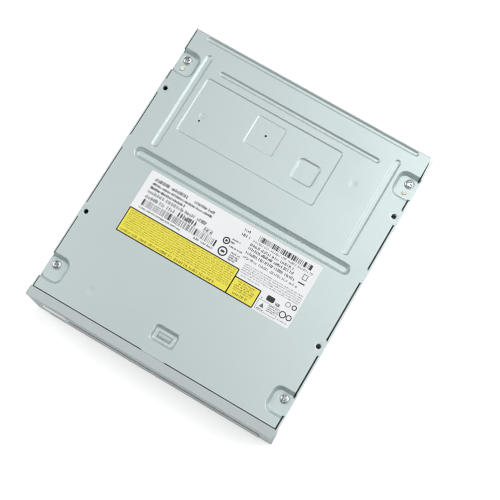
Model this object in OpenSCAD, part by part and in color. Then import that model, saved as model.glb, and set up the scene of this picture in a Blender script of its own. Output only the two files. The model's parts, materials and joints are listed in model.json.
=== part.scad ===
// Half-height internal disc writer for a 5.25 inch bay, lying on its top cover.
// The underside plate faces up (+Z) and the bezel faces -Y.
// Inside the modules y is measured from the front edge of the steel case,
// x from its middle and z from the outer face of the top cover.

/* [Case] */
// Width of the steel case
case_w = 146; // [145:0.25:147]
// Length of the steel case, without the bezel
case_len = 165; // [164:0.5:175]
// Height of the case, from the top cover to the underside plate
case_h = 41.3; // [41:0.1:42.5]
// Thickness of the underside plate
sheet_t = 0.8; // [0.6:0.05:0.9]
// Thickness of the top cover's sheet
cover_t = 0.6; // [0.5:0.05:0.8]
// Gap between the underside plate and the side walls
plate_gap = 0.5; // [0.3:0.05:0.6]
// Outer radius of the folds
fold_r = 1; // [0.9:0.05:1.2]
// Length of the rear fold of the underside plate
rear_fold_h = 6.6; // [3:0.2:6.8]
// Gap between this fold and the rear wall
rear_gap = 1.1; // [0.4:0.1:2]

/* [Mounting holes] */
// Distance between the underside holes, across the drive
bottom_pitch_x = 139.7; // [139:0.1:140]
// Distance between the holes, along the drive
hole_pitch_y = 79.25; // [78:0.25:80]
// Distance from the case front to the first hole
hole_first_y = 47.4; // [46:0.2:48]
// Height of the lower side holes over the underside
side_hole_low = 10; // [9.5:0.1:10.5]
// Height of the upper side holes over the underside
side_hole_high = 21.84; // [21.4:0.1:22.4]
// Radius of the threaded M3 holes, at the thread's core
m3_core_r = 1.25; // [1.2:0.05:1.35]
// Wall of the drawn collar round each threaded hole
collar_wall = 0.65; // [0.4:0.05:0.8]
// Length of the collars under the sheet
collar_len = 1.2; // [0.8:0.1:1.3]

/* [Underside plate] */
// Depth of the corner pockets for the case screws
pocket_depth = 3; // [2.4:0.1:3.2]
// Width of the corner pockets, from the case side inwards
pocket_w = 12; // [11:0.2:12.5]
// Length of the front corner pockets
pocket_len = 15; // [14:0.5:16]
// Distance from the case front to the front pockets
front_pocket_y = 6; // [5.5:0.25:7]
// Distance from the case rear to the middle of the rear pockets
rear_pocket_back = 20; // [19:0.25:21]
// Depth of the wide bead across the plate
wide_bead_depth = 1.8; // [1:0.1:2]
// Width of the wide bead
wide_bead_w = 6.5; // [5.5:0.25:7]
// Width of the thin beads
thin_bead_w = 2.9; // [2.4:0.1:3.4]
// Depth of the thin beads
thin_bead_depth = 0.7; // [0.5:0.05:0.9]
// Depth of the recessed panel over the main board
panel_depth = 0.45; // [0.3:0.05:0.8]
// Width of the square over the controller chip
controller_square_w = 17.5; // [15.5:0.25:18]
// Depth of this square in the panel
controller_square_depth = 0.35; // [0.2:0.05:0.8]
// Width of the square over the driver chip
driver_square_w = 13.3; // [12.5:0.1:14]
// Depth of this square in the panel
driver_square_depth = 0.8; // [0.5:0.05:1]
// Depth of the pocket round the bezel's catch
latch_depth = 1.2; // [0.8:0.1:1.4]

/* [Rating label] */
// Width of the label
label_w = 103.4; // [90:0.2:110]
// Length of the label, along the drive
label_len = 37; // [30:0.5:38]
// Thickness of the label
label_t = 0.12; // [0.08:0.01:0.2]
// Radius of the label's corners
label_corner_r = 1; // [0.4:0.1:2]

/* [Case screws] */
// Distance of the case screws from the case sides
case_screw_in = 4.7; // [4.4:0.1:5]
// Radius of the case screws' heads
case_screw_head_r = 2.3; // [2:0.05:2.4]
// Height of the case screws' heads
case_screw_head_h = 1.4; // [1:0.1:1.8]
// Radius of the case screws' shanks
case_screw_r = 1.25; // [1:0.05:1.3]
// Length of the case screws' shanks
case_screw_len = 8; // [6:0.5:10]

/* [Bezel and door] */
// How far the bezel stands out beside the case
bezel_over = 0.7; // [0.5:0.1:1.5]
// Depth of the bezel in front of the case
bezel_t = 5; // [4.5:0.25:6]
// Wall thickness of the bezel
bezel_wall = 2; // [1.6:0.1:2]
// Radius of the bezel's corners
bezel_corner_r = 1.2; // [0.6:0.1:1.6]
// Distance from the bezel's side to the tray door
door_side = 8.1; // [7.7:0.1:8.4]
// Height of the tray door
door_h = 18.4; // [18:0.1:18.6]
// Gap between the tray door and the bezel
door_gap = 0.45; // [0.35:0.05:0.6]
// How far the tray door stands out of the bezel
door_proud = 0.45; // [0:0.05:0.8]

/* [Eject button] */
// Width of the eject button
button_w = 15.6; // [13:0.2:17]
// Height of the eject button
button_h = 5.2; // [4.4:0.2:5.2]
// How far the eject button stands out of the bezel
button_proud = 1.3; // [0.9:0.1:1.6]
// Distance from the bezel's side to the middle of the button
button_side = 18.3; // [17:0.1:20]
// Height of the button's middle under the underside
button_in = 5.3; // [5.3:0.1:6.3]
// Travel of the eject button
button_travel = 0.7; // [0.3:0.05:0.8]

/* [Disc tray] */
// Distance from the tray to the frame's outer face, with the rail's channel
channel_w = 7.4; // [7.2:0.1:7.6]
// Distance from the tray's rear to the case's rear
tray_back = 7.8; // [7:0.1:10]
// Wall thickness of the tray
tray_wall = 1.8; // [1.5:0.1:1.9]
// Height of the tray's rim over the top cover
tray_rim_z = 8.3; // [8.1:0.1:8.5]
// Radius of the well for a full-size disc
well_r = 60.25; // [60:0.25:60.5]
// Depth of the well for a full-size disc
well_depth = 3; // [2.6:0.1:3]
// Radius of the well for a small disc
small_well_r = 40.6; // [40.2:0.1:41]
// Depth of the well for a small disc, under the other one
small_well_depth = 1.5; // [1.2:0.1:1.5]
// Width of the slot for the disc motor and the pickup
slot_w = 49; // [48.4:0.2:50]
// Distance from the case front to the disc's axis
spindle_y = 70; // [69.5:0.25:70.5]
// Travel of the tray
tray_travel = 138; // [134:0.5:138]

/* [Tray drive] */
// Tooth size of the rack and its pinion
rack_module = 1; // [1:0.02:1.02]
// Number of teeth on the rack pinion
rack_pinion_teeth = 16; // [15:1:16]
// Tooth size of the two reduction gears
gear_module = 0.6; // [0.58:0.01:0.62]
// Number of teeth on the large reduction gear
wheel_teeth = 36; // [34:1:36]
// Number of teeth on the small reduction gear
small_teeth = 12; // [12:1:14]
// Play between the teeth
backlash = 0.14; // [0.1:0.02:0.2]
// Distance from the tray's side to the rack pinion's axle
rack_in = 15.2; // [15:0.1:15.4]
// Distance from the case front to the rack pinion
rack_pinion_y = 14; // [13.5:0.1:14.5]
// Radius of the axles of the gears
axle_r = 1.5; // [1.2:0.05:1.6]
// Running clearance round axles and shafts
run_gap = 0.06; // [0.04:0.01:0.08]
// Radius of the belt's line on the large pulley
pulley_r = 10.5; // [9.5:0.25:10.5]
// Radius of the belt's line on the motor pulley
motor_pulley_r = 3; // [2.6:0.1:3.2]
// Thickness of the square rubber belt
belt_t = 1.2; // [1:0.1:1.4]
// Radius of the loading motor's can
motor_r = 12.1; // [11:0.1:12.2]
// Gap between the loading motor and the underside plate
motor_clear = 0.9; // [0.6:0.1:3]
// Distance between the motor's two screws
motor_screw_pitch = 17; // [16:0.5:18]

/* [Drive unit] */
// Width of the tilting lift frame
lift_w = 100; // [99:0.2:101]
// Distance from the lift frame's hinge to the case's rear
hinge_back = 17; // [16.5:0.25:17.5]
// Radius of the lift frame's hinge pins
hinge_r = 2; // [1.8:0.1:2.2]
// Height of the disc motor's rubber ring, where the disc rests
disc_seat_z = 10.2; // [10.1:0.05:10.4]
// Radius of the turntable
turntable_r = 15.4; // [15:0.1:15.6]
// Radius of the hub that centres the disc
hub_r = 7.4; // [7.3:0.05:7.45]
// Distance between the two guide rods
rod_pitch = 52.5; // [52:0.25:53]
// Radius of the main guide rod
main_rod_r = 1.5; // [1.3:0.05:1.6]
// Radius of the side guide rod
side_rod_r = 1.25; // [1.1:0.05:1.3]
// Distance from the disc's axis to the lens, pickup at the innermost place
lens_in = 24; // [23:0.25:24.5]
// Travel of the pickup
pickup_travel = 36; // [34:0.5:36]
// Travel of the lens to each side of rest, for focusing
lens_travel = 0.4; // [0.2:0.05:0.5]
// Radius of the lead screw
screw_r = 1.5; // [1.3:0.05:1.6]

/* [Main board] */
// Distance from the case's side to the main board
board_side = 9; // [8.5:0.25:10]
// Length of the main board
board_len = 67; // [60:0.5:67.5]
// Thickness of the circuit boards
board_t = 1.6; // [1.2:0.1:1.7]
// Thickness of the chips
chip_t = 1.3; // [1:0.1:1.4]
// Thickness of the pad between the driver chip and the plate
pad_t = 0.5; // [0.3:0.05:0.8]
// Width of the opening for the data and power connector
connector_w = 43; // [42:0.5:44]
// Height of the connector, under the board
connector_h = 6.5; // [6:0.1:7]
// Distance from the drive's middle to the connector's middle
connector_x = 31; // [29:0.5:32]

/* [Hidden] */
$fn = 48;
eps = 0.01;

// The case
half_w = case_w / 2;
wall_in = half_w - cover_t;
plate_half_w = wall_in - plate_gap;
plate_in_z = case_h - sheet_t;
rear_wall_z1 = case_h - rear_fold_h - rear_gap;
front_y = bezel_t + button_proud - (case_len + bezel_t + button_proud) / 2;
hole_ys = [hole_first_y, hole_first_y + hole_pitch_y];
side_hole_zs = [case_h - side_hole_low, case_h - side_hole_high];
tab_spans = [[hole_ys[0] - 4.4, hole_ys[0] + 4.6], [hole_ys[0] + 39.6, hole_ys[0] + 47.6],
    [hole_ys[1] - 4.2, hole_ys[1] + 4.8]];
rear_pocket_y = case_len - rear_pocket_back - pocket_len / 2 - 0.5;
pocket_floor_z = case_h - pocket_depth;
pocket_run = 2.2;
case_screw_x = half_w - case_screw_in;
case_screw_ys = [front_pocket_y + pocket_len * 0.66, rear_pocket_y + pocket_len * 0.66];
locator_y = rear_pocket_y + pocket_len * 0.3;
locator_r = 1.1;
boss_r = 2.2;
stiffener_ys = [case_len - 53, case_len - 35, case_len - 17];
front_stiffener_ys = [14, 28];
emboss_h = 0.5;

// Beads, panel and squares of the underside plate, by their lower and upper corners
plate_y0 = 0.35;
bead_y = hole_ys[0] + 38.6;
wide_bead = [[7.5 - half_w, bead_y], [half_w - 8.5, bead_y + wide_bead_w]];
rear_bead = [[8 - half_w, case_len - 1 - thin_bead_w], [half_w - 8, case_len - 1]];
inner_bead = [[24 - half_w, case_len - 14.8 - thin_bead_w], [half_w - 24, case_len - 14.8]];
left_bead = [[13.2 - half_w, bead_y + 9.5], [16.7 - half_w, case_len - 10]];
right_bead = [[half_w - 17.2, bead_y + 9.5], [half_w - 13.7, case_len - 10]];
panel = [[20 - half_w, case_len - 55.5], [half_w - 42.5, case_len - 21.5]];
square_a = panel[0] + [42.75, 21.25];
square_b = panel[0] + [71.25, 14.5];
latch_x = 7.1;
latch_ys = [7.3, 16.3];
latch_window_x = 4;
latch_window_ys = [9.8, 13.2];
label_y = hole_ys[0] - 0.1;

// The door, the bezel and the button
bezel_w = case_w + 2 * bezel_over;
door_w = bezel_w - 2 * door_side;
door_wall = 1.6;
door_z0 = 2.4;
door_z1 = door_z0 + door_h;
button_x = bezel_w / 2 - button_side;
button_z = case_h - button_in;
led_x = 26.4 - button_x;
led_z = button_z - 4;
led_half_w = 2.5;
led_half_h = 0.8;
eject_hole_x = 9.6 - button_x;
eject_hole_z = button_z + 0.6;
front_board_y = 3.2;
front_board_x0 = 9 - half_w;
front_board_t = 1.2;
switch_len = 3.5;
plunger_r = 1.45;
plunger_y1 = front_board_y - switch_len + 1;
button_back_y = -bezel_t + bezel_wall + 0.15;
button_flange_t = 0.8;
bezel_catch_y0 = 4.8;
bezel_catch_y1 = 8.4;
bezel_catch_z0 = 14;
bezel_catch_z1 = 24;
rib_t = 1.6;

// The tray
frame_half = wall_in - 1.8;
tray_half = frame_half - channel_w;
tray_y0 = -0.8;
tray_y1 = case_len - tray_back;
tray_bottom_z = 18.6;
well_z = tray_rim_z + well_depth;
small_well_z = well_z + small_well_depth;
rail_out = 2.2;
tray_rib_t = 1.4;
rail_z0 = 12.6;
rail_z1 = 14.6;

// The gear train
pressure = 25;
rack_pinion_x = tray_half - rack_in;
rack_pitch_r = rack_module * rack_pinion_teeth / 2;
rack_x = rack_pinion_x + rack_pitch_r;
wheel_pitch_r = gear_module * wheel_teeth / 2;
small_pitch_r = gear_module * small_teeth / 2;
train_angle = 150;
pulley_x = rack_pinion_x + (wheel_pitch_r + small_pitch_r) * cos(train_angle);
pulley_y = rack_pinion_y + (wheel_pitch_r + small_pitch_r) * sin(train_angle);
motor_x = rack_pinion_x - 40;
motor_y = rack_pinion_y + 14.2;
rack_z0 = 15.2;
rack_z1 = 18.6;
wheel_z0 = 19.2;
wheel_z1 = 21.6;
belt_z0 = 23;
belt_z1 = 26;
belt_clear = 0.2;
deck_z0 = 26.6;
deck_z1 = 28.6;
motor_z1 = plate_in_z - motor_clear;
motor_shaft_r = 1;

// The frame
frame_z0 = 7;
frame_z1 = pocket_floor_z - sheet_t - 2.3;
frame_wall = 1.8;
frame_y0 = 4.6;
frame_y1 = case_len - 3;
hinge_y = case_len - hinge_back;
bay_half = lift_w / 2 + 1.5;
bay_y0 = 43;
bay_y1 = hinge_y + 6;
bay_z1 = frame_z1 - 2.2;
side_deck_z0 = 18.9;
side_deck_z1 = 20.7;

// The drive unit
lift_z0 = 19.4;
lift_z1 = 29;
lift_y0 = 47.4;
lift_y1 = hinge_y + 4;
hinge_z = 25;
lift_angle = 3.5;
lift_wall = 2;
follower_x = 25;
follower_z = 23;
follower_r = 1.5;
cam_travel = 10;
cam_rise = (hinge_y - 45) * sin(lift_angle);
deck_plate_z0 = 16.6;
deck_plate_z1 = 17.6;
deck_half = lift_w / 2 - 3.6;
deck_y0 = 51;
deck_y1 = hinge_y - 2;
damper_x = lift_w / 2 - 7.8;
damper_y0 = deck_y0 + 5;
damper_y1 = deck_y1 - 5;
damper_spots = [[-damper_x, damper_y0], [damper_x, damper_y0],
    [-damper_x, damper_y1], [damper_x, damper_y1]];
damper_seat_z = 20.4;
damper_screw_r = 1.2;
damper_neck_r = 2.6;
rod_z = 21.5;
main_rod_x = -rod_pitch / 2 - 1;
side_rod_x = rod_pitch / 2 - 1;
rod_y0 = 79;
rod_y1 = deck_y1 - 2.5;
lens_y = spindle_y + lens_in;
pickup_y0 = lens_y - 10.5;
pickup_y1 = lens_y + 11;
holder_z1 = 15.6;
screw_x = -35;
screw_z = 25.2;
sled_motor_y0 = 63;
sled_motor_y1 = 75;
sled_motor_r = 6.8;
rotor_r = 11.5;
rotor_z0 = 15.6;
base_z0 = 24.2;
base_spots = [[-14.5, spindle_y - 9], [14.5, spindle_y - 9], [0, spindle_y - 16]];
bridge_z0 = 4.8;
bridge_z1 = 6.2;
bridge_half_y = 13;
bridge_screw_r = 1;
bridge_screw_x = frame_half - 3.6;
bridge_screw_y = 10;

// The boards
square_a_z = plate_in_z - panel_depth - controller_square_depth;
square_b_z = plate_in_z - panel_depth - driver_square_depth;
board_z0 = square_b_z - pad_t - chip_t - board_t;
board_z1 = board_z0 + board_t;
board_half = half_w - board_side;
board_screw_r = 1.2;
board_y1 = case_len - 2.2;
board_y0 = board_y1 - board_len;
board_screw_ys = [board_y0 + 4, board_y1 - 4];
board_screw_x = board_half - 4;
connector_z0 = board_z0 - connector_h;
connector_wall = 1.2;
connector_cut_x0 = connector_x - connector_w / 2 - 1;
connector_cut_x1 = connector_x + connector_w / 2 + 1;

// Colours of the finishes
zinc = [0.76, 0.80, 0.80];
bezel_grey = [0.80, 0.81, 0.80];
cream = [0.90, 0.88, 0.80];
dark_plastic = [0.16, 0.16, 0.17];
white_plastic = [0.93, 0.93, 0.91];
bright_steel = [0.78, 0.78, 0.80];
board_green = [0.10, 0.36, 0.22];

// Places a module's drive coordinates in the part's frame
module placed() translate([0, front_y, 0]) children();

// A block between two corners
module block(lo, hi) translate(lo) cube(hi - lo);

// A cylinder between two heights
module post(x, y, z0, z1, r) translate([x, y, z0]) cylinder(h = z1 - z0, r = r);

// A cylinder along X between two places
module x_post(x0, x1, y, z, r)
    translate([x0, y, z]) rotate([0, 90, 0]) cylinder(h = x1 - x0, r = r);

// A cylinder along Y between two places
module y_post(x, y0, y1, z, r)
    translate([x, y0, z]) rotate([-90, 0, 0]) cylinder(h = y1 - y0, r = r);

// A rectangle with round corners, about its middle
module rounded_rect(w, l, r) {
    square([w - 2 * r, l], center = true);
    square([w, l - 2 * r], center = true);
    for (x = [-1, 1], y = [-1, 1])
        translate([x * (w / 2 - r), y * (l / 2 - r)]) circle(r = r);
}

// A block with round upright edges between two corners
module rounded_block(lo, hi, r)
    translate([(lo.x + hi.x) / 2, (lo.y + hi.y) / 2, lo.z])
        linear_extrude(hi.z - lo.z) rounded_rect(hi.x - lo.x, hi.y - lo.y, r);

// The same on both sides of the drive's middle
module both_sides() {
    children();
    mirror([1, 0, 0]) children();
}

// A pressed recess under z = 0: outline lo to hi, its walls run in over the depth
module pressed(lo, hi, depth, run, r) {
    x0 = lo.x;
    x1 = hi.x;
    y0 = lo.y;
    y1 = hi.y;
    translate([x0 + r, 0, 0]) rotate([90, 0, 90]) linear_extrude(x1 - x0 - 2 * r)
        polygon([[y0, 0], [y0 + run, -depth], [y1 - run, -depth], [y1, 0]]);
    translate([0, y1 - r, 0]) rotate([90, 0, 0]) linear_extrude(y1 - y0 - 2 * r)
        polygon([[x0, 0], [x0 + run, -depth], [x1 - run, -depth], [x1, 0]]);
    for (x = [x0 + r, x1 - r], y = [y0 + r, y1 - r])
        translate([x, y, -depth]) cylinder(h = depth, r1 = r - run, r2 = r);
}

// The metal round such a recess
module pressed_skin(lo, hi, depth, run, r) {
    grow = sheet_t * 0.6;
    translate([0, 0, -sheet_t + eps])
        pressed([lo.x - grow, lo.y - grow], [hi.x + grow, hi.y + grow], depth, run, r + grow);
}

// The recesses of the underside plate: corners, depth, run of the wall, corner radius
module plate_recesses(skin) {
    module recess(lo, hi, depth, run, r) {
        if (skin) pressed_skin(lo, hi, depth, run, r);
        else pressed(lo, hi, depth, run, r);
    }
    past = half_w + 6;
    for (y = [front_pocket_y, rear_pocket_y]) {
        recess([half_w - pocket_w, y], [past, y + pocket_len], pocket_depth, pocket_run, 4.5);
        recess([-past, y], [pocket_w - half_w, y + pocket_len], pocket_depth, pocket_run, 4.5);
    }
    recess(wide_bead[0], wide_bead[1], wide_bead_depth, 1.8, wide_bead_w / 2 - eps);
    for (bead = [rear_bead, inner_bead])
        recess(bead[0], bead[1], thin_bead_depth, 0.9, thin_bead_w / 2 - eps);
    for (bead = [left_bead, right_bead])
        recess(bead[0], bead[1], thin_bead_depth, 0.9, (bead[1].x - bead[0].x) / 2 - eps);
    recess(panel[0], panel[1], panel_depth, 0.6, 1.6);
    recess([-latch_x, latch_ys[0]], [latch_x, latch_ys[1]], latch_depth, 1.1, 2);
    half_a = [1, 1] * controller_square_w / 2;
    half_b = [1, 1] * driver_square_w / 2;
    translate([0, 0, -panel_depth]) {
        recess(square_a - half_a, square_a + half_a, controller_square_depth, 0.5, 1);
        recess(square_b - half_b, square_b + half_b, driver_square_depth, 0.9, 1.6);
    }
}

// Cross-section of a sheet along Y that folds at y1, from z1 down to z0
module folded_sheet(y0, y1, z0, z1, t, r) {
    translate([y0, z1 - t]) square([y1 - r - y0, t]);
    translate([y1 - t, z0]) square([t, z1 - r - z0]);
    translate([y1 - r, z1 - r]) difference() {
        intersection() {
            circle(r = r);
            square(r);
        }
        circle(r = r - t);
    }
}

// Underside plate: pressed sheet with side tabs, threaded collars and a rear fold
module bottom_plate() color(zinc) placed() difference() {
    hole_x = bottom_pitch_x / 2;
    union() {
        translate([-plate_half_w, 0, 0]) rotate([90, 0, 90]) linear_extrude(2 * plate_half_w)
            folded_sheet(plate_y0, case_len, case_h - rear_fold_h, case_h, sheet_t, fold_r);
        block([-6.8, 0.06, plate_in_z], [6.5, 1, case_h]);
        for (span = tab_spans)
            block([-half_w, span[0], plate_in_z], [half_w, span[1], case_h]);
        intersection() {
            translate([0, 0, case_h]) plate_recesses(true);
            block([-plate_half_w, plate_y0, 0], [plate_half_w, case_len - 0.3, case_h]);
        }
        // floors of the corner pockets, which reach out over the cut side walls
        both_sides() for (y = [front_pocket_y, rear_pocket_y])
            block([plate_half_w - 1, y + pocket_run + 0.1, pocket_floor_z - sheet_t],
                [half_w - 0.1, y + pocket_len - pocket_run - 0.1, pocket_floor_z]);
        for (side = [-1, 1], y = hole_ys)
            post(side * hole_x, y, plate_in_z - collar_len, case_h - 0.2, m3_core_r + collar_wall);
    }
    translate([0, 0, case_h]) plate_recesses(false);
    for (side = [-1, 1], y = hole_ys)
        post(side * hole_x, y, plate_in_z - collar_len - 1, case_h + 1, m3_core_r);
    for (side = [-1, 1], y = case_screw_ys)
        post(side * case_screw_x, y, pocket_floor_z - 2, case_h, case_screw_r + 0.2);
    for (side = [-1, 1])
        post(side * case_screw_x, locator_y, pocket_floor_z - 2, case_h, locator_r + 0.15);
    post(square_a.x + 0.25, square_a.y, plate_in_z - 3, case_h, 0.6);
    post(panel[0].x + 8.2, panel[0].y + 10.5, plate_in_z - 3, case_h, 0.5);
    block([-latch_window_x, latch_window_ys[0], plate_in_z - 3],
        [latch_window_x, latch_window_ys[1], case_h]);
    block([connector_cut_x0, case_len - 1.5, connector_z0 - 1],
        [connector_cut_x1, case_len + 1, board_z1 + 0.8]);
}

// The box that the top cover is folded round, smaller by an inset
module cover_form(inset) {
    w = case_w - 2 * inset;
    h = 2 * (case_h - inset);
    r = fold_r - inset;
    intersection() {
        translate([0, case_len + 1, case_h]) rotate([90, 0, 0])
            linear_extrude(2 * case_len) rounded_rect(w, h, r);
        translate([-half_w, 0, case_h]) rotate([90, 0, 90])
            linear_extrude(case_w) rounded_rect(2 * (case_len - inset), h, r);
    }
}

// A flat stiffener pressed into the cover: its raised skin, or its hollow on the outside
module stiffener(half, y, hollow) {
    grow = hollow ? -0.6 : 0;
    z0 = hollow ? -1 : 0.3;
    z1 = hollow ? emboss_h : cover_t + emboss_h;
    rounded_block([-half - grow, y - 3 - grow, z0], [half + grow, y + 3 + grow, z1], 2.9 + grow);
}

// Top cover: panel, side walls and rear wall folded from one sheet
module top_cover() color(zinc) placed() difference() {
    union() {
        difference() {
            intersection() {
                cover_form(0);
                block([-half_w, 0, 0], [half_w, case_len, case_h]);
            }
            cover_form(cover_t);
        }
        both_sides() for (y = hole_ys, z = side_hole_zs)
            x_post(wall_in - collar_len, half_w - 0.2, y, z, m3_core_r + collar_wall);
        post(0, spindle_y, 0.3, cover_t + emboss_h, 21);
        for (y = stiffener_ys) stiffener(half_w - 23, y, false);
        for (y = front_stiffener_ys) stiffener(half_w - 33, y, false);
    }
    // the rear wall ends under the plate's fold and is cut free from the side walls
    block([-wall_in, case_len - 2, rear_wall_z1], [wall_in, case_len + 1, case_h + 1]);
    both_sides() block([wall_in - 0.5, case_len - 2, fold_r + 1],
        [wall_in, case_len + 1, case_h + 1]);
    both_sides() {
        for (y = hole_ys, z = side_hole_zs)
            x_post(wall_in - collar_len - 1, half_w + 1, y, z, m3_core_r);
        for (span = tab_spans)
            block([wall_in - 1, span[0] - 0.2, plate_in_z - 0.1],
                [half_w + 1, span[1] + 0.2, case_h + 1]);
        for (y = [front_pocket_y, rear_pocket_y])
            block([wall_in - 1, y + 0.6, pocket_floor_z - sheet_t - 0.2],
                [half_w + 1, y + pocket_len - 0.6, case_h + 1]);
        block([wall_in - 1, bezel_catch_y0, bezel_catch_z0 - 0.2],
            [half_w + 1, bezel_catch_y1, bezel_catch_z1 + 0.2]);
    }
    block([connector_cut_x0, case_len - 2, connector_z0 - 0.6],
        [connector_cut_x1, case_len + 1, case_h]);
    post(0, spindle_y, -1, emboss_h, 20.4);
    for (y = stiffener_ys) stiffener(half_w - 23, y, true);
    for (y = front_stiffener_ys) stiffener(half_w - 33, y, true);
}

// A pan-head screw pointing down from z, with a cross recess in its head
module pan_screw(x, y, z, head_r, head_h, r, len) translate([x, y, z]) {
    slot = head_r * 0.28;
    reach = head_r * 0.58;
    difference() {
        union() {
            cylinder(h = head_h * 0.5, r = head_r);
            translate([0, 0, head_h * 0.5]) cylinder(h = head_h * 0.5, r1 = head_r, r2 = head_r * 0.72);
            translate([0, 0, -len]) cylinder(h = len + eps, r = r);
        }
        for (turn = [0, 90]) rotate([0, 0, turn + 20])
            translate([-reach, -slot / 2, head_h * 0.35]) cube([2 * reach, slot, head_h]);
    }
}

// The four case screws, in the corner pockets
module cover_screws() color(bright_steel) placed()
    for (side = [-1, 1], y = case_screw_ys)
        pan_screw(side * case_screw_x, y, pocket_floor_z, case_screw_head_r, case_screw_head_h,
            case_screw_r, case_screw_len);

// Rating label on the underside plate
module rating_label() color([0.94, 0.94, 0.93]) placed()
    rounded_block([-label_w / 2, label_y, case_h], [label_w / 2, label_y + label_len, case_h + label_t],
        label_corner_r);

// Front bezel: a shell with the tray's window, the button's window and its catches
module front_bezel() color(bezel_grey) placed() {
    half = bezel_w / 2;
    rib_x = 0.56 * half;
    middle_x = latch_x + 1.9;
    window_x = door_w / 2 + door_gap;
    window_z0 = door_z0 - door_gap;
    window_z1 = door_z1 + door_gap;
    tongue_z1 = plate_in_z - latch_depth - 0.2;
    difference() {
        rotate([90, 0, 0]) translate([0, case_h / 2, 0])
            linear_extrude(bezel_t) rounded_rect(bezel_w, case_h, bezel_corner_r);
        // hollow behind the lower strip, between its ribs
        both_sides() for (span = [[middle_x, rib_x - rib_t / 2], [rib_x + rib_t / 2, half - bezel_wall]])
            block([span[0], -bezel_t + bezel_wall, window_z1 + 1.6],
                [span[1], 1, case_h - bezel_wall]);
        // window of the tray door
        block([-window_x, -bezel_t - 1, window_z0], [window_x, 1, window_z1]);
        // window of the button
        translate([-button_x, -bezel_t - 1, button_z]) rotate([-90, 0, 0])
            linear_extrude(bezel_wall + 2)
                rounded_rect(button_w + 0.6, button_h + 0.6, button_h / 2 + 0.3 - eps);
        // emergency eject hole and the indicator's hole
        y_post(eject_hole_x, -bezel_t - 1, 0, eject_hole_z, 0.75);
        block([led_x - led_half_w - 0.1, -bezel_t - 1, led_z - led_half_h - 0.1],
            [led_x + led_half_w + 0.1, 0, led_z + led_half_h + 0.1]);
    }
    // catches in the sides of the case
    both_sides() {
        block([frame_half + 0.3, -bezel_wall, bezel_catch_z0],
            [wall_in - 0.2, bezel_catch_y1 + 1, bezel_catch_z1]);
        block([wall_in - 0.4, bezel_catch_y0 + 0.3, bezel_catch_z0],
            [half_w - 0.1, bezel_catch_y1 - 0.3, bezel_catch_z1]);
    }
    // tongue with its two ribs, and the hook in the latch window
    block([-5.8, -bezel_wall, tongue_z1 - 1.5], [5.8, latch_window_ys[1] + 0.4, tongue_z1]);
    both_sides() block([4.2, -bezel_wall, tongue_z1 - 2.6], [5.4, 6, tongue_z1 - 1]);
    hook_ys = [latch_window_ys[0] + 0.4, latch_window_ys[1] - 0.4];
    translate([-latch_window_x + 0.4, 0, 0]) rotate([90, 0, 90])
        linear_extrude(2 * (latch_window_x - 0.4))
            polygon([[hook_ys[0], tongue_z1 - 1], [hook_ys[1], tongue_z1 - 1],
                [hook_ys[1], case_h - 1], [hook_ys[0] + 0.9, case_h - 1],
                [hook_ys[0], case_h - 1.7]]);
}

// Tray door: a shallow shell with two ribs on the front of the tray
module tray_door() color(bezel_grey) placed() difference() {
    y0 = -bezel_t - door_proud;
    rib_x = 0.476 * door_w / 2;
    translate([0, tray_y0, (door_z0 + door_z1) / 2]) rotate([90, 0, 0])
        linear_extrude(tray_y0 - y0) rounded_rect(door_w, door_h, 0.8);
    spans = [[-door_w / 2 + door_wall, -rib_x - rib_t / 2], [-rib_x + rib_t / 2, rib_x - rib_t / 2],
        [rib_x + rib_t / 2, door_w / 2 - door_wall]];
    for (span = spans)
        block([span[0], y0 + 2, door_z0 + door_wall], [span[1], 1, door_z1 - door_wall]);
}

// Eject button: oval cap with a flange behind the bezel
module eject_button() color([0.84, 0.86, 0.85]) placed() {
    translate([-button_x, -bezel_t - button_proud, button_z]) rotate([-90, 0, 0])
        linear_extrude(button_proud + bezel_wall + 0.4)
            rounded_rect(button_w, button_h, button_h / 2 - eps);
    translate([-button_x, button_back_y, button_z]) rotate([-90, 0, 0])
        linear_extrude(button_flange_t) rounded_rect(button_w + 2.4, button_h + 1.2, button_h / 2);
}

// Light guide of the activity indicator
module led_lens() color([0.75, 0.85, 0.6]) placed() {
    back_y = -bezel_t + bezel_wall;
    block([led_x - led_half_w, -bezel_t - 0.1, led_z - led_half_h],
        [led_x + led_half_w, back_y + 0.3, led_z + led_half_h]);
    block([led_x - led_half_w - 0.9, back_y + 0.05, led_z - led_half_h - 0.8],
        [led_x + led_half_w + 0.9, back_y + 1, led_z + led_half_h + 0.8]);
}

// Indicator lamp on the front board
module indicator_led() color([0.9, 0.95, 0.85]) placed() {
    y_post(led_x, -1.2, front_board_y, led_z, 1.5);
    y_post(led_x, front_board_y - 1, front_board_y, led_z, 1.9);
}

// Front board behind the button
module front_board() color(board_green) placed() difference() {
    block([front_board_x0, front_board_y, deck_z1],
        [led_x + 4.4, front_board_y + front_board_t, plate_in_z - 1.4]);
    y_post(eject_hole_x, 0, 10, eject_hole_z, 1.6);
}

// Body of the eject switch
module eject_switch() color(dark_plastic) placed() difference() {
    block([-button_x - 3, front_board_y - switch_len, button_z - 3],
        [-button_x + 3, front_board_y, button_z + 3]);
    y_post(-button_x, front_board_y - switch_len - 1, plunger_y1 + button_travel + 0.5, button_z,
        plunger_r + 0.3);
}

// Plunger of the eject switch
module switch_plunger() color([0.85, 0.3, 0.2]) placed()
    y_post(-button_x, button_back_y + button_flange_t, plunger_y1, button_z, plunger_r);

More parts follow.
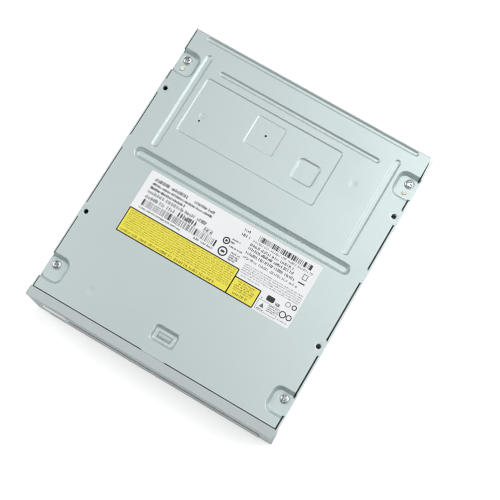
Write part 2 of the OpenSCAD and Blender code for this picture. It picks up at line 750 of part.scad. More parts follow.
// Loader frame: side walls with the tray's channels, the front deck with the gear axles,
// the bay of the lift frame, the rear deck and the posts for screws, pins and boards
module main_frame() color(cream) placed() difference() {
    union() {
        both_sides() {
            // outer walls
            block([frame_half - frame_wall, frame_y0, frame_z0], [frame_half, frame_y1, frame_z1 - 3]);
            // channels of the tray: a ledge under its rails and three tabs over them
            block([tray_half + 0.5, frame_y0, rail_z1 + 0.4], [frame_half, frame_y1, rail_z1 + 1.8]);
            for (y = [frame_y0 + 2, hole_ys[0] + 12.6, frame_y1 - 50])
                block([tray_half + 0.5, y, rail_z0 - 1.9], [frame_half, y + 12, rail_z0 - 0.4]);
            // side decks with their ribs, and the walls of the bay
            block([bay_half, bay_y0, side_deck_z0], [frame_half, frame_y1, side_deck_z1]);
            block([bay_half, bay_y0, side_deck_z0], [bay_half + frame_wall, bay_y1, bay_z1]);
            for (y = [bay_y0 + 17:18:bay_y1 - 20])
                block([bay_half, y, side_deck_z1 - eps], [frame_half, y + 1.4, side_deck_z1 + 7.3]);
            x_post(bay_half, bay_half + 4.5, hinge_y, hinge_z, hinge_r + 2.6);
            // wall that guides the cam
            block([bay_half, bay_y0 - 2.2, side_deck_z0], [frame_half, bay_y0 + 1, frame_z1 - 1]);
            // posts for the case screws and locating pins of the underside plate
            for (y = case_screw_ys)
                post(case_screw_x, y, side_deck_z0, pocket_floor_z - sheet_t, boss_r);
            post(case_screw_x, case_screw_ys[0], rail_z1 + 1, deck_z0, boss_r);
            post(case_screw_x, locator_y, side_deck_z0, pocket_floor_z - sheet_t - 0.05, 2);
            post(case_screw_x, locator_y, side_deck_z0, pocket_floor_z + 0.9, locator_r);
            // posts under the main board
            for (y = board_screw_ys) post(board_screw_x, y, side_deck_z0, board_z0, boss_r + 0.4);
            // seats of the clamp bridge
            block([frame_half - 7, spindle_y - bridge_half_y - 1, frame_z0],
                [frame_half, spindle_y + bridge_half_y + 1, frame_z0 + 1.4]);
        }
        // rear deck and rear wall
        block([-frame_half, bay_y1, side_deck_z0], [frame_half, frame_y1, side_deck_z1]);
        block([-frame_half, frame_y1 - frame_wall, side_deck_z0],
            [frame_half, frame_y1, min(connector_z0 - 0.7, side_deck_z1 + 7.3)]);
        // front deck, its walls and its ribs
        block([-frame_half, frame_y0, deck_z0], [frame_half, bay_y0 - 0.6, deck_z1]);
        block([-frame_half, frame_y0, deck_z0 - 4.6], [frame_half, frame_y0 + 1.6, frame_z1 - 6.4]);
        block([-frame_half, bay_y0 - 2.2, deck_z0], [frame_half, bay_y0 - 0.6, frame_z1 - 1]);
        for (x = [-52, -36, -20, 30, 46])
            block([x, frame_y0, deck_z1 - eps], [x + 1.4, bay_y0 - 1, bay_z1]);
        // axles of the gears
        post(rack_pinion_x, rack_pinion_y, rack_z0 + 0.2, deck_z0 + eps, axle_r);
        post(rack_pinion_x, rack_pinion_y, wheel_z1 + 0.1, deck_z0 + eps, axle_r + 0.7);
        post(pulley_x, pulley_y, wheel_z0, deck_z0 + eps, axle_r);
        post(pulley_x, pulley_y, belt_z1 + 0.1, deck_z0 + eps, axle_r + 1.4);
    }
    both_sides() {
        // bores of the hinge
        x_post(bay_half - 1, bay_half + 6, hinge_y, hinge_z, hinge_r + run_gap);
        // screw holes of the posts and of the bridge's seats
        for (y = case_screw_ys)
            post(case_screw_x, y, pocket_floor_z - sheet_t - case_screw_len - 1, pocket_floor_z,
                case_screw_r + 0.02);
        for (y = board_screw_ys)
            post(board_screw_x, y, board_z0 - 7, board_z0 + 1, board_screw_r + 0.02);
        for (side = [-1, 1])
            post(bridge_screw_x, spindle_y + side * bridge_screw_y, frame_z0 - 1, frame_z0 + 5,
                bridge_screw_r + 0.02);
    }
    // hole of the motor's boss and of its screws in the front deck
    post(motor_x, motor_y, deck_z0 - 1, deck_z1 + 1, 4.2);
    for (side = [-1, 1])
        post(motor_x + side * motor_screw_pitch / 2, motor_y, deck_z0 - 1, deck_z1 + 1, 1.1);
    // room for the front board behind the bezel
    block([front_board_x0 - 1, -1, 20],
        [led_x + 5.4, front_board_y + front_board_t + 0.2, case_h]);
}

// Disc tray: rim, wells, side walls with rails, rack and the slot for the drive unit
module disc_tray() color(white_plastic) placed() {
    difference() {
        union() {
            block([-tray_half, tray_y0, tray_rim_z], [tray_half, tray_y1, tray_rim_z + tray_wall]);
            intersection() {
                union() {
                    post(0, spindle_y, tray_rim_z, well_z + tray_wall, well_r + 1.2);
                    post(0, spindle_y, tray_rim_z, small_well_z + tray_wall, small_well_r + 1.8);
                }
                block([-tray_half, tray_y0, 0], [tray_half, tray_y1, case_h]);
            }
            both_sides() {
                block([tray_half - tray_wall, tray_y0, tray_rim_z],
                    [tray_half, tray_y1, tray_bottom_z]);
                block([tray_half - eps, tray_y0 + 6, rail_z0],
                    [tray_half + rail_out, tray_y1, rail_z1]);
                block([slot_w / 2, tray_y1 - 2, tray_rim_z],
                    [tray_half, tray_y1, small_well_z + tray_wall]);
                for (y = [tray_y1 - 8, tray_y1 - 14])
                    block([slot_w / 2, y, tray_rim_z], [tray_half, y + tray_rib_t, well_z + tray_wall]);
            }
            block([-tray_half + 3, tray_y0, door_z0 + 2.2],
                [tray_half - 3, tray_y0 + 2.2, tray_bottom_z]);
            rack();
        }
        post(0, spindle_y, tray_rim_z - 1, well_z, well_r);
        post(0, spindle_y, tray_rim_z - 1, small_well_z, small_well_r);
        post(0, spindle_y, tray_rim_z - 1, tray_bottom_z, slot_w / 2);
        block([-slot_w / 2, spindle_y, tray_rim_z - 1], [slot_w / 2, tray_y1 + 1, tray_bottom_z]);
        // shallow scoops for the fingers at the well's front
        both_sides() post(0.73 * well_r, spindle_y - 0.73 * well_r, tray_rim_z - 1, tray_rim_z + 0.9, 9);
    }
    // tabs that hold a disc when the drive stands on its side
    for (turn = [38, 142, 218, 322])
        translate([0, spindle_y, 0]) rotate([0, 0, turn])
            translate([well_r - 1.6, -3, tray_rim_z]) cube([2.4, 6, 1]);
}

// Rack under the tray's right side
module rack() {
    pitch = PI * rack_module;
    tip = rack_module;
    root = 1.25 * rack_module;
    half = (pitch / 2 - backlash) / 2;
    lean = tan(pressure);
    first = ceil((tray_y0 + 5 - rack_pinion_y) / pitch);
    last = floor((tray_travel + 3.2) / pitch) - 1;
    y_of = function(i) rack_pinion_y + (i + 0.5) * pitch;
    teeth = [for (i = [first:last]) each [
        [rack_x + root, y_of(i) - half - root * lean],
        [rack_x - tip, y_of(i) - half + tip * lean],
        [rack_x - tip, y_of(i) + half - tip * lean],
        [rack_x + root, y_of(i) + half + root * lean]]];
    back = tray_half - tray_wall / 2;
    translate([0, 0, well_z + tray_wall - 0.4])
        linear_extrude(rack_z1 - well_z - tray_wall + 0.4)
            polygon(concat([[back, y_of(first) - 3]], [[rack_x + root, y_of(first) - 3]], teeth,
                [[rack_x + root, y_of(last) + 3], [back, y_of(last) + 3]]));
    block([rack_x + root, y_of(first) - 3, tray_rim_z], [back, y_of(last) + 3, rack_z0]);
}

// Outline of an involute gear with a tooth on the +X side
module gear_outline(mod, teeth) {
    pitch_r = mod * teeth / 2;
    base_r = pitch_r * cos(pressure);
    tip_r = pitch_r + mod;
    root_r = pitch_r - 1.25 * mod;
    inv = function(a) tan(a) * 180 / PI - a;
    half_at_pitch = (PI * mod / 2 - backlash) / 2 / pitch_r * 180 / PI;
    half_at = function(r) half_at_pitch + inv(pressure) - inv(acos(min(1, base_r / r)));
    steps = 4;
    start_r = max(base_r, root_r);
    radii = concat([root_r], [for (i = [0:steps]) start_r + (tip_r - start_r) * i / steps]);
    polygon([for (t = [0:teeth - 1]) each concat(
        [for (r = radii) r * [cos(t * 360 / teeth - half_at(r)), sin(t * 360 / teeth - half_at(r))]],
        [for (i = [len(radii) - 1:-1:0])
            radii[i] * [cos(t * 360 / teeth + half_at(radii[i])),
                sin(t * 360 / teeth + half_at(radii[i]))]])]);
}

// Gear that drives the rack: a small pinion on a large wheel
module tray_drive_gear() color([0.92, 0.9, 0.84]) placed()
    translate([rack_pinion_x, rack_pinion_y, 0]) difference() {
        union() {
            translate([0, 0, rack_z0]) linear_extrude(wheel_z0 - rack_z0 + eps)
                gear_outline(rack_module, rack_pinion_teeth);
            translate([0, 0, wheel_z0]) rotate([0, 0, train_angle])
                linear_extrude(wheel_z1 - wheel_z0) gear_outline(gear_module, wheel_teeth);
        }
        translate([0, 0, rack_z0 - 1]) cylinder(h = 10, r = axle_r + run_gap);
        // the wheel's web is thinner than its rim and hub
        translate([0, 0, wheel_z1 - 0.7]) difference() {
            cylinder(h = 1, r = wheel_pitch_r - 2);
            translate([0, 0, -1]) cylinder(h = 3, r = axle_r + 2.6);
        }
    }

// Belt pulley with the small reduction gear
module pulley_gear() color([0.2, 0.2, 0.22]) placed()
    translate([pulley_x, pulley_y, 0]) difference() {
        union() {
            translate([0, 0, wheel_z0 - 0.2])
                rotate([0, 0, train_angle + 180 + 180 / small_teeth])
                    linear_extrude(belt_z0 - wheel_z0 + 0.2 + eps)
                        gear_outline(gear_module, small_teeth);
            translate([0, 0, belt_z0 - 0.8]) pulley_rim(pulley_r);
        }
        translate([0, 0, wheel_z0 - 1]) cylinder(h = 10, r = axle_r + run_gap);
        for (turn = [0:60:300]) rotate([0, 0, turn])
            translate([pulley_r * 0.6, 0, belt_z0 - 2]) cylinder(h = 8, r = 2);
    }

// Rim of a belt pulley: a groove between two flanges
module pulley_rim(r) {
    height = belt_z1 - belt_z0 + 0.8;
    groove = r - belt_t / 2 - belt_clear;
    cylinder(h = height, r = groove);
    flange = r + 0.8;
    cylinder(h = 0.7, r = flange);
    translate([0, 0, 0.7]) cylinder(h = 0.5, r1 = flange, r2 = groove);
    translate([0, 0, height - 1.2]) cylinder(h = 0.5, r1 = groove, r2 = flange);
    translate([0, 0, height - 0.7]) cylinder(h = 0.7, r = flange);
}

// Pulley on the motor's shaft
module motor_pulley() color([0.85, 0.75, 0.45]) placed() translate([motor_x, motor_y, 0]) {
    translate([0, 0, belt_z0 - 0.8]) pulley_rim(motor_pulley_r);
    translate([0, 0, belt_z0 - 1.6])
        cylinder(h = deck_z1 + 3 - belt_z0 + 1.6, r = motor_shaft_r);
}

// Drive belt: a square rubber loop round both pulleys
module drive_belt() color([0.1, 0.1, 0.1]) placed() {
    span = [pulley_x - motor_x, pulley_y - motor_y];
    reach = norm(span);
    turn = atan2(span.y, span.x);
    lean = acos((motor_pulley_r - pulley_r) / reach);
    steps = 30;
    loop = function(grow) concat(
        [for (i = [0:steps]) let (a = lean + (360 - 2 * lean) * i / steps)
            (motor_pulley_r + grow) * [cos(a), sin(a)]],
        [for (i = [0:steps]) let (a = -lean + 2 * lean * i / steps)
            [reach, 0] + (pulley_r + grow) * [cos(a), sin(a)]]);
    mid_z = (belt_z0 - 0.8 + belt_z1) / 2;
    translate([motor_x, motor_y, mid_z - belt_t / 2]) rotate([0, 0, turn])
        linear_extrude(belt_t) difference() {
            polygon(loop(belt_t / 2));
            polygon(loop(-belt_t / 2));
        }
}

// Loading motor: a flat can with its boss in the front deck, its end cap and its terminals
module loading_motor() color(bright_steel) placed() translate([motor_x, motor_y, 0]) {
    can_z1 = motor_z1 - 1.8;
    difference() {
        union() {
            translate([0, 0, deck_z1]) cylinder(h = can_z1 - deck_z1, r = motor_r);
            translate([0, 0, can_z1]) cylinder(h = 0.6, r1 = motor_r, r2 = motor_r - 0.6);
            translate([0, 0, deck_z0 + 0.4]) cylinder(h = 3, r = 3);
            translate([0, 0, can_z1 + 0.5]) cylinder(h = 1, r = 3.2);
            for (side = [-1, 1])
                translate([side * 5 - 0.9, motor_r - 3, can_z1 + 0.5]) cube([1.8, 2, 1.1]);
        }
        translate([0, 0, deck_z0]) cylinder(h = 6, r = motor_shaft_r + run_gap);
        for (side = [-1, 1])
            translate([side * motor_screw_pitch / 2, 0, deck_z1 - 1])
                cylinder(h = 5, r = motor_shaft_r + 0.02);
    }
}

// Two screws that hold the motor on the deck
module motor_screws() color(bright_steel) placed() for (side = [-1, 1])
    translate([motor_x + side * motor_screw_pitch / 2, motor_y, deck_z0]) rotate([180, 0, 0])
        pan_screw(0, 0, 0, 1.8, 1, motor_shaft_r, deck_z1 - deck_z0 + 3);

// Cam slider: an upright plate with two slanting slots for the lift frame's followers
module cam_slider() color([0.86, 0.86, 0.84]) placed() {
    cam_y0 = bay_y0 - 0.3;
    cam_y1 = cam_y0 + 2;
    slope = atan2(cam_rise, -cam_travel);
    length = norm([cam_travel, cam_rise]);
    slot_r = follower_r + 0.25;
    x0 = 5.5 - bay_half;
    x1 = bay_half - 13.5;
    z1 = follower_z + cam_rise + slot_r + 2.2;
    difference() {
        union() {
            block([x0, cam_y0, side_deck_z0 + 0.5], [x1, cam_y1, z1]);
            block([x0, cam_y0, z1 - 1.8], [x1, cam_y1 + 1.2, z1]);
            for (x = [x0, x1 - 1.2])
                block([x, cam_y0, side_deck_z0 + 0.5], [x + 1.2, cam_y1 + 1.2, z1]);
        }
        // windows that lighten the plate between its slots
        block([-follower_x + 5, cam_y0 - 1, follower_z - 2], [follower_x - cam_travel - 6, cam_y1, z1 - 4]);
        for (side = [-1, 1]) translate([side * follower_x, cam_y0 - 1, follower_z]) {
            rotate([-90, 0, 0]) cylinder(h = 4, r = slot_r);
            translate([-cam_travel, 0, cam_rise]) rotate([-90, 0, 0]) cylinder(h = 4, r = slot_r);
            rotate([0, -slope, 0]) translate([0, 0, -slot_r]) cube([length, 4, 2 * slot_r]);
        }
    }
}

// Lift frame: a ring with hinge pins, cam followers and seats for the rubber dampers
module lift_frame() color(dark_plastic) placed() {
    half = lift_w / 2;
    difference() {
        union() {
            difference() {
                block([-half, lift_y0, lift_z0], [half, lift_y1, lift_z1]);
                block([-half + lift_wall, lift_y0 + lift_wall, lift_z0 - 1],
                    [half - lift_wall, lift_y1 - lift_wall, lift_z1 + 1]);
            }
            both_sides() x_post(half - 1, bay_half + 4, hinge_y, hinge_z, hinge_r);
            for (side = [-1, 1])
                y_post(side * follower_x, bay_y0 - 0.2, lift_y0 + 1, follower_z, follower_r);
            for (spot = damper_spots) {
                post(spot.x, spot.y, damper_seat_z, lift_z1, 4.6);
                sx = sign(spot.x);
                block([min(spot.x, sx * (half - 1)), spot.y - 4, damper_seat_z],
                    [max(spot.x, sx * (half - 1)), spot.y + 4, damper_seat_z + 3]);
            }
        }
        for (spot = damper_spots)
            post(spot.x, spot.y, damper_seat_z - 1, lift_z1 - 1, damper_screw_r + 0.02);
    }
}

// Traverse frame: a pressed steel deck with its window, side walls and rod seats
module traverse_frame() color(zinc) placed() {
    difference() {
        union() {
            block([-deck_half, deck_y0, deck_plate_z0], [deck_half, deck_y1, deck_plate_z1]);
            both_sides() block([deck_half - 1, damper_y0 + 6, deck_plate_z0],
                [deck_half, damper_y1 - 7, base_z0 - 0.2]);
            block([-34, deck_y1 - 1, deck_plate_z0], [34, deck_y1, base_z0 - 0.2]);
            block([-24, deck_y0, deck_plate_z0], [24, deck_y0 + 1, base_z0 - 3]);
            // seats of the guide rods
            for (x = [main_rod_x, side_rod_x]) {
                block([x - 3, rod_y0 - 2, deck_plate_z0], [x + 3, rod_y0 + 2, rod_z]);
                block([x - 3, rod_y1 - 2, deck_plate_z0], [x + 3, rod_y1 + 2, rod_z]);
            }
            // posts of the spindle base
            for (spot = base_spots) post(spot.x, spot.y, deck_plate_z0, base_z0, 2.4);
            // bracket of the sled motor and bearing of its screw
            block([screw_x - 7, sled_motor_y1, deck_plate_z0],
                [screw_x + 7, sled_motor_y1 + 1, screw_z + 7]);
            block([screw_x - 2.4, rod_y1 - 2, deck_plate_z0],
                [screw_x + 2.4, rod_y1 + 2, screw_z + 2.8]);
        }
        // windows of the rotor and the pickup
        post(0, spindle_y, deck_plate_z0 - 1, base_z0, rotor_r + 1.2);
        block([-24.2, spindle_y + 6, deck_plate_z0 - 1],
            [22.8, pickup_y1 + pickup_travel + 1.8, deck_plate_z1 + 1]);
        for (spot = damper_spots)
            post(spot.x, spot.y, deck_plate_z0 - 1, deck_plate_z1 + 1, damper_neck_r);
        y_post(main_rod_x, rod_y0 - 2.1, rod_y1 + 3, rod_z, main_rod_r + 0.02);
        y_post(side_rod_x, rod_y0 - 2.1, rod_y1 + 3, rod_z, side_rod_r + 0.02);
        y_post(screw_x, sled_motor_y1 - 1, rod_y1 + 0.6, screw_z, screw_r + run_gap);
    }
}

// Rubber dampers between the traverse frame and the lift frame
module rubber_dampers() color([0.25, 0.25, 0.27]) placed()
    for (spot = damper_spots) translate([spot.x, spot.y, 0]) difference() {
        union() {
            translate([0, 0, deck_plate_z0 - 0.8]) cylinder(h = 0.8, r = 4);
            translate([0, 0, deck_plate_z0 - eps])
                cylinder(h = deck_plate_z1 - deck_plate_z0 + 2 * eps, r = damper_neck_r - 0.02);
            translate([0, 0, deck_plate_z1])
                cylinder(h = damper_seat_z - deck_plate_z1, r = 4.2);
        }
        translate([0, 0, deck_plate_z0 - 2]) cylinder(h = 8, r = damper_screw_r + 0.3);
    }

// Screws through the dampers
module damper_screws() color(bright_steel) placed() for (spot = damper_spots)
    translate([spot.x, spot.y, deck_plate_z0 - 0.8]) rotate([180, 0, 0])
        pan_screw(0, 0, 0, 2.8, 0.9, damper_screw_r, 10);

// Steel base of the disc motor with its bearing tube
module spindle_base() color(zinc) placed() difference() {
    union() {
        rounded_block([-18, spindle_y - 20, base_z0], [18, spindle_y + 11, base_z0 + 1], 2);
        post(0, spindle_y, 17.4, base_z0 + 2.4, 2.6);
    }
    post(0, spindle_y, 16, base_z0 + 1.6, 1 + run_gap);
}

// Rotor of the disc motor: a steel cup on its shaft
module spindle_rotor() color(bright_steel) placed() translate([0, spindle_y, 0]) {
    difference() {
        translate([0, 0, rotor_z0]) cylinder(h = base_z0 - 0.5 - rotor_z0, r = rotor_r);
        translate([0, 0, rotor_z0 + 1]) cylinder(h = 10, r = rotor_r - 0.9);
    }
    translate([0, 0, disc_seat_z + 2]) cylinder(h = base_z0 + 1 - disc_seat_z - 2, r = 1);
}

// Turntable: the disc's seat with its centring hub
module turntable() color(dark_plastic) placed() translate([0, spindle_y, 0]) difference() {
    union() {
        translate([0, 0, disc_seat_z + 0.1])
            cylinder(h = rotor_z0 - disc_seat_z - 0.1 - 1.6, r = turntable_r);
        translate([0, 0, disc_seat_z + 2]) cylinder(h = rotor_z0 - disc_seat_z - 2, r = 5);
        translate([0, 0, disc_seat_z - 1.4]) cylinder(h = 2, r = hub_r);
        translate([0, 0, disc_seat_z - 2.2]) cylinder(h = 0.8, r1 = hub_r - 0.8, r2 = hub_r);
    }
    translate([0, 0, disc_seat_z + 2]) cylinder(h = 6, r = 1.01);
    translate([0, 0, disc_seat_z - 3]) cylinder(h = 3.4, r = hub_r - 2);
    // slots that part the hub's rim into spring fingers
    for (turn = [0:60:300]) rotate([0, 0, turn])
        translate([hub_r - 1.4, -0.5, disc_seat_z - 3]) cube([3, 1, 2.4]);
    difference() {
        translate([0, 0, disc_seat_z]) cylinder(h = 0.7, r = turntable_r - 0.4);
        translate([0, 0, disc_seat_z - 1]) cylinder(h = 3, r = turntable_r - 3.2);
    }
}

// Rubber ring that the disc rests on
module turntable_pad() color([0.3, 0.3, 0.32]) placed() translate([0, spindle_y, disc_seat_z])
    difference() {
        cylinder(h = 0.7, r = turntable_r - 0.42);
        translate([0, 0, -1]) cylinder(h = 3, r = turntable_r - 3.18);
    }

// Magnet in the hub
module hub_magnet() color([0.45, 0.45, 0.48]) placed() translate([0, spindle_y, disc_seat_z - 1.6])
    cylinder(h = 2, r = hub_r - 2.02);

// Body of the pickup, with the main rod's bearing and the side rod's fork
module pickup_body() color([0.55, 0.56, 0.58]) placed() difference() {
    union() {
        block([-23, pickup_y0, 17.9], [21.5, pickup_y1, 25.6]);
        block([-17, lens_y - 8, 14.2], [17, lens_y + 9, 18.2]);
        block([main_rod_x - 3.2, pickup_y0, rod_z - 3.2], [-22, pickup_y1, rod_z + 3.4]);
        block([20.5, lens_y - 3, rod_z - 2.7], [side_rod_x + 2.6, lens_y + 4, rod_z + 2.7]);
    }
    // well of the lens holder, open to the top
    block([-8.5, lens_y - 6, 11], [8.5, lens_y + 6, holder_z1 + lens_travel + 1.4]);
    // bearings
    y_post(main_rod_x, pickup_y0 - 1, pickup_y1 + 1, rod_z, main_rod_r + run_gap);
    y_post(side_rod_x, lens_y - 4, lens_y + 5, rod_z, side_rod_r + run_gap);
    block([side_rod_x, lens_y - 4, rod_z - side_rod_r - run_gap],
        [side_rod_x + 4, lens_y + 5, rod_z + side_rod_r + run_gap]);
    // hollow that clears the rotor
    post(0, spindle_y, 10, 30, rotor_r + 1);
}

// Lens holder in the pickup's well
module lens_holder() color([0.12, 0.12, 0.13]) placed() difference() {
    union() {
        block([-5.4, lens_y - 3.4, 13.2], [5.4, lens_y + 3.4, holder_z1]);
        post(0, lens_y, 12.6, 13.4, 2.9);
    }
    post(0, lens_y, 12, 16, 2.1);
}

// Objective lens
module objective_lens() color([0.55, 0.65, 0.9]) placed()
    translate([0, lens_y, 13.4]) {
        cylinder(h = 1, r = 2.08);
        translate([0, 0, -0.9]) cylinder(h = 0.9, r1 = 1.1, r2 = 2.08);
    }

// Magnets on both sides of the lens holder
module actuator_magnets() color([0.5, 0.5, 0.52]) placed() for (side = [-1, 1])
    block([-4.5, lens_y + side * 5 - 0.98, 13.4], [4.5, lens_y + side * 5 + 0.98, 17.4]);

// Guide rods of the pickup
module main_guide_rod() color(bright_steel) placed()
    y_post(main_rod_x, rod_y0 - 2, rod_y1 + 2, rod_z, main_rod_r);
module side_guide_rod() color(bright_steel) placed()
    y_post(side_rod_x, rod_y0 - 2, rod_y1 + 2, rod_z, side_rod_r);

// Spring clips that press the rods into their seats
module rod_clips() color([0.82, 0.78, 0.62]) placed()
    for (x = [main_rod_x, side_rod_x], y = [rod_y0, rod_y1]) {
        r = x < 0 ? main_rod_r : side_rod_r;
        block([x - 3, y - 1.5, rod_z + r], [x + 3, y + 1.5, rod_z + r + 0.4]);
        for (side = [-1, 1])
            block([x + side * 3 - (side > 0 ? 0 : 0.4), y - 1.5, deck_plate_z1],
                [x + side * 3 + (side > 0 ? 0.4 : 0), y + 1.5, rod_z + r + 0.4]);
    }

// Stepping motor of the pickup
module sled_motor() color(bright_steel) placed() difference() {
    union() {
        y_post(screw_x, sled_motor_y0, sled_motor_y1, screw_z, sled_motor_r);
        y_post(screw_x, sled_motor_y0 - 1, sled_motor_y0 + 1, screw_z, 3);
    }
    y_post(screw_x, sled_motor_y0 + 2, sled_motor_y1 + 1, screw_z, screw_r + run_gap);
}

// Lead screw of the pickup
module lead_screw() color([0.7, 0.7, 0.72]) placed()
    y_post(screw_x, sled_motor_y0 + 2.4, rod_y1 + 0.4, screw_z, screw_r);

// Nut arm between the pickup and the lead screw
module sled_nut() color([0.9, 0.9, 0.86]) placed() difference() {
    union() {
        block([main_rod_x - 3.4, lens_y - 3, rod_z + 3.4], [-23, lens_y + 5, rod_z + 4.8]);
        block([screw_x + 1.2, lens_y - 3, screw_z - 1.9],
            [main_rod_x - 3.2, lens_y + 5, screw_z + 1.9]);
    }
    y_post(screw_x, lens_y - 4, lens_y + 6, screw_z, screw_r + run_gap);
}

// Clamp bridge over the tray: a flat strip with slots, its ends on the frame's seats
module clamp_bridge() color([0.84, 0.84, 0.82]) placed() difference() {
    union() {
        block([-frame_half, spindle_y - bridge_half_y, bridge_z0],
            [frame_half, spindle_y + bridge_half_y, bridge_z1]);
        post(0, spindle_y, bridge_z0, bridge_z1, 19);
        both_sides() block([frame_half - 7, spindle_y - bridge_half_y, bridge_z0],
            [frame_half, spindle_y + bridge_half_y, frame_z0]);
    }
    post(0, spindle_y, bridge_z0 - 1, bridge_z1 + 1, 14.6);
    both_sides() for (side = [-1, 1]) {
        post(bridge_screw_x, spindle_y + side * bridge_screw_y, bridge_z0 - 1, frame_z0 + 1,
            bridge_screw_r + 0.1);
        rounded_block([24, spindle_y + side * 5 - 3, bridge_z0 - 1],
            [frame_half - 14.6, spindle_y + side * 5 + 3, bridge_z1 + 1], 2);
    }
}

// Screws of the clamp bridge
module bridge_screws() color(bright_steel) placed() for (side = [-1, 1], along = [-1, 1])
    translate([side * bridge_screw_x, spindle_y + along * bridge_screw_y, bridge_z0])
        rotate([180, 0, 0]) pan_screw(0, 0, 0, 1.9, 1, bridge_screw_r, frame_z0 - bridge_z0 + 3);

// Clamper: hangs in the bridge by its flange and presses the disc on the turntable
module clamper_hub() color([0.93, 0.93, 0.9]) placed() translate([0, spindle_y, 0]) difference() {
    union() {
        translate([0, 0, bridge_z0 - 1.9]) cylinder(h = 1.6, r = 16.4);
        translate([0, 0, bridge_z0 - 0.4]) cylinder(h = disc_seat_z - bridge_z0 + 0.4, r = 14.2);
    }
    translate([0, 0, disc_seat_z - 2.8]) cylinder(h = 4, r = hub_r + 0.5);
    translate([0, 0, bridge_z0 - 3]) cylinder(h = 3.2, r = 10.02);
}

// Steel yoke in the clamper, pulled by the hub's magnet
module clamper_yoke() color(bright_steel) placed() translate([0, spindle_y, bridge_z0 - 1.2])
    difference() {
        cylinder(h = 1.4, r = 10);
        translate([0, 0, -1]) cylinder(h = 4, r = 3);
    }

// Main board, with a notch in its front edge for the flat cables
module main_board() color(board_green) placed() difference() {
    block([-board_half, board_y0, board_z0], [board_half, board_y1, board_z1]);
    for (side = [-1, 1], y = board_screw_ys)
        post(side * board_screw_x, y, board_z0 - 1, board_z1 + 1, board_screw_r + 0.2);
    block([-14, board_y0 - 1, board_z0 - 1], [14, board_y0 + 0.9, board_z1 + 1]);
}

// Screws of the main board
module board_screws() color(bright_steel) placed() for (side = [-1, 1], y = board_screw_ys)
    pan_screw(side * board_screw_x, y, board_z1, 2.1, 1.1, board_screw_r, board_t + 5);

// A chip on the board's outer side, with a chamfered lid
module chip(x, y, w, l, h) {
    cut = 0.25;
    translate([x, y, board_z1]) intersection() {
        translate([-w / 2, -l / 2, 0]) cube([w, l, h]);
        rotate([90, 0, 0]) translate([0, 0, -l / 2]) linear_extrude(l)
            polygon([[-w / 2, 0], [w / 2, 0], [w / 2, h - cut], [w / 2 - cut, h],
                [cut - w / 2, h], [-w / 2, h - cut]]);
    }
}

// Chips on the board's outer side
module controller_chip() color(dark_plastic) placed() chip(square_a.x, square_a.y, 15, 15, chip_t);
module driver_chip() color(dark_plastic) placed() chip(square_b.x, square_b.y, 10.8, 10, chip_t);
module memory_chip() color(dark_plastic) placed()
    chip(panel[0].x + 17, panel[0].y + 20.5, 8, 12, chip_t - 0.3);

// Pads between the chips and the plate's squares
module thermal_pads() color([0.6, 0.68, 0.75]) placed() {
    half = 4.6;
    for (pad = [[square_a, square_a_z], [square_b, square_b_z]])
        block([pad[0].x - half, pad[0].y - half, board_z1 + chip_t],
            [pad[0].x + half, pad[0].y + half, pad[1]]);
}

// Electrolytic capacitors on the board's inner side, each with its crimped foot
module capacitors() color([0.72, 0.73, 0.76]) placed() for (x = [-46, -37, -28, -8])
    translate([x, bay_y1 + 2.2, board_z0]) rotate([180, 0, 0]) {
        cylinder(h = 1.2, r = 3.1);
        translate([0, 0, 1.2 - eps]) cylinder(h = 0.5, r = 2.8);
        translate([0, 0, 1.7 - 2 * eps]) cylinder(h = 3.4, r = 3.1);
        translate([0, 0, 5.1 - 3 * eps]) cylinder(h = 0.3, r1 = 3.1, r2 = 2.8);
    }

// Data and power connector at the rear: two wells, each with its L-shaped tongue
module data_power_connector() color(dark_plastic) placed() {
    x0 = connector_x - connector_w / 2;
    x1 = connector_x + connector_w / 2;
    y0 = case_len - 9;
    mid = (connector_z0 + board_z0) / 2;
    wells = [[x0 + connector_wall, x0 + 13.4], [x0 + 15.2, x1 - connector_wall]];
    keys = [x0 + 2.6, x1 - 3.8];
    difference() {
        block([x0, y0, connector_z0], [x1, case_len - 0.3, board_z0]);
        for (well = wells)
            block([well[0], y0 + 3, connector_z0 + 0.9], [well[1], case_len, board_z0 - 0.9]);
        // slots of the plugs' latches in the outer wall
        for (well = wells)
            block([(well[0] + well[1]) / 2 - 2, y0 + 5, connector_z0 - 1],
                [(well[0] + well[1]) / 2 + 2, case_len - 2.4, connector_z0 + 1]);
    }
    for (i = [0, 1]) {
        block([wells[i][0] + 1.4, y0 + 2, mid - 0.6], [wells[i][1] - 1.4, case_len - 1, mid + 0.6]);
        block([keys[i], y0 + 2, mid - 0.6], [keys[i] + connector_wall, case_len - 1, mid + 1.6]);
    }
}

// Sockets of the flat cables on the board's inner side
module flat_cable_sockets() color([0.9, 0.88, 0.82]) placed() {
    block([-30, board_y0 + 1, board_z0 - 1.4], [-2, board_y0 + 5, board_z0]);
    block([6, board_y0 + 1, board_z0 - 1.4], [20, board_y0 + 5, board_z0]);
}

top_cover();
bottom_plate();
cover_screws();
rating_label();
front_bezel();
tray_door();
eject_button();
led_lens();
indicator_led();
front_board();
eject_switch();
switch_plunger();
main_frame();
disc_tray();
tray_drive_gear();
pulley_gear();
drive_belt();
motor_pulley();
loading_motor();
motor_screws();
cam_slider();
lift_frame();
traverse_frame();
rubber_dampers();
damper_screws();
spindle_base();
spindle_rotor();
turntable();
turntable_pad();
hub_magnet();
pickup_body();
lens_holder();
objective_lens();
actuator_magnets();
main_guide_rod();
side_guide_rod();
rod_clips();
sled_motor();
lead_screw();
sled_nut();
clamp_bridge();
bridge_screws();
clamper_hub();
clamper_yoke();
main_board();
controller_chip();
driver_chip();
memory_chip();
thermal_pads();
capacitors();
data_power_connector();
flat_cable_sockets();
board_screws();
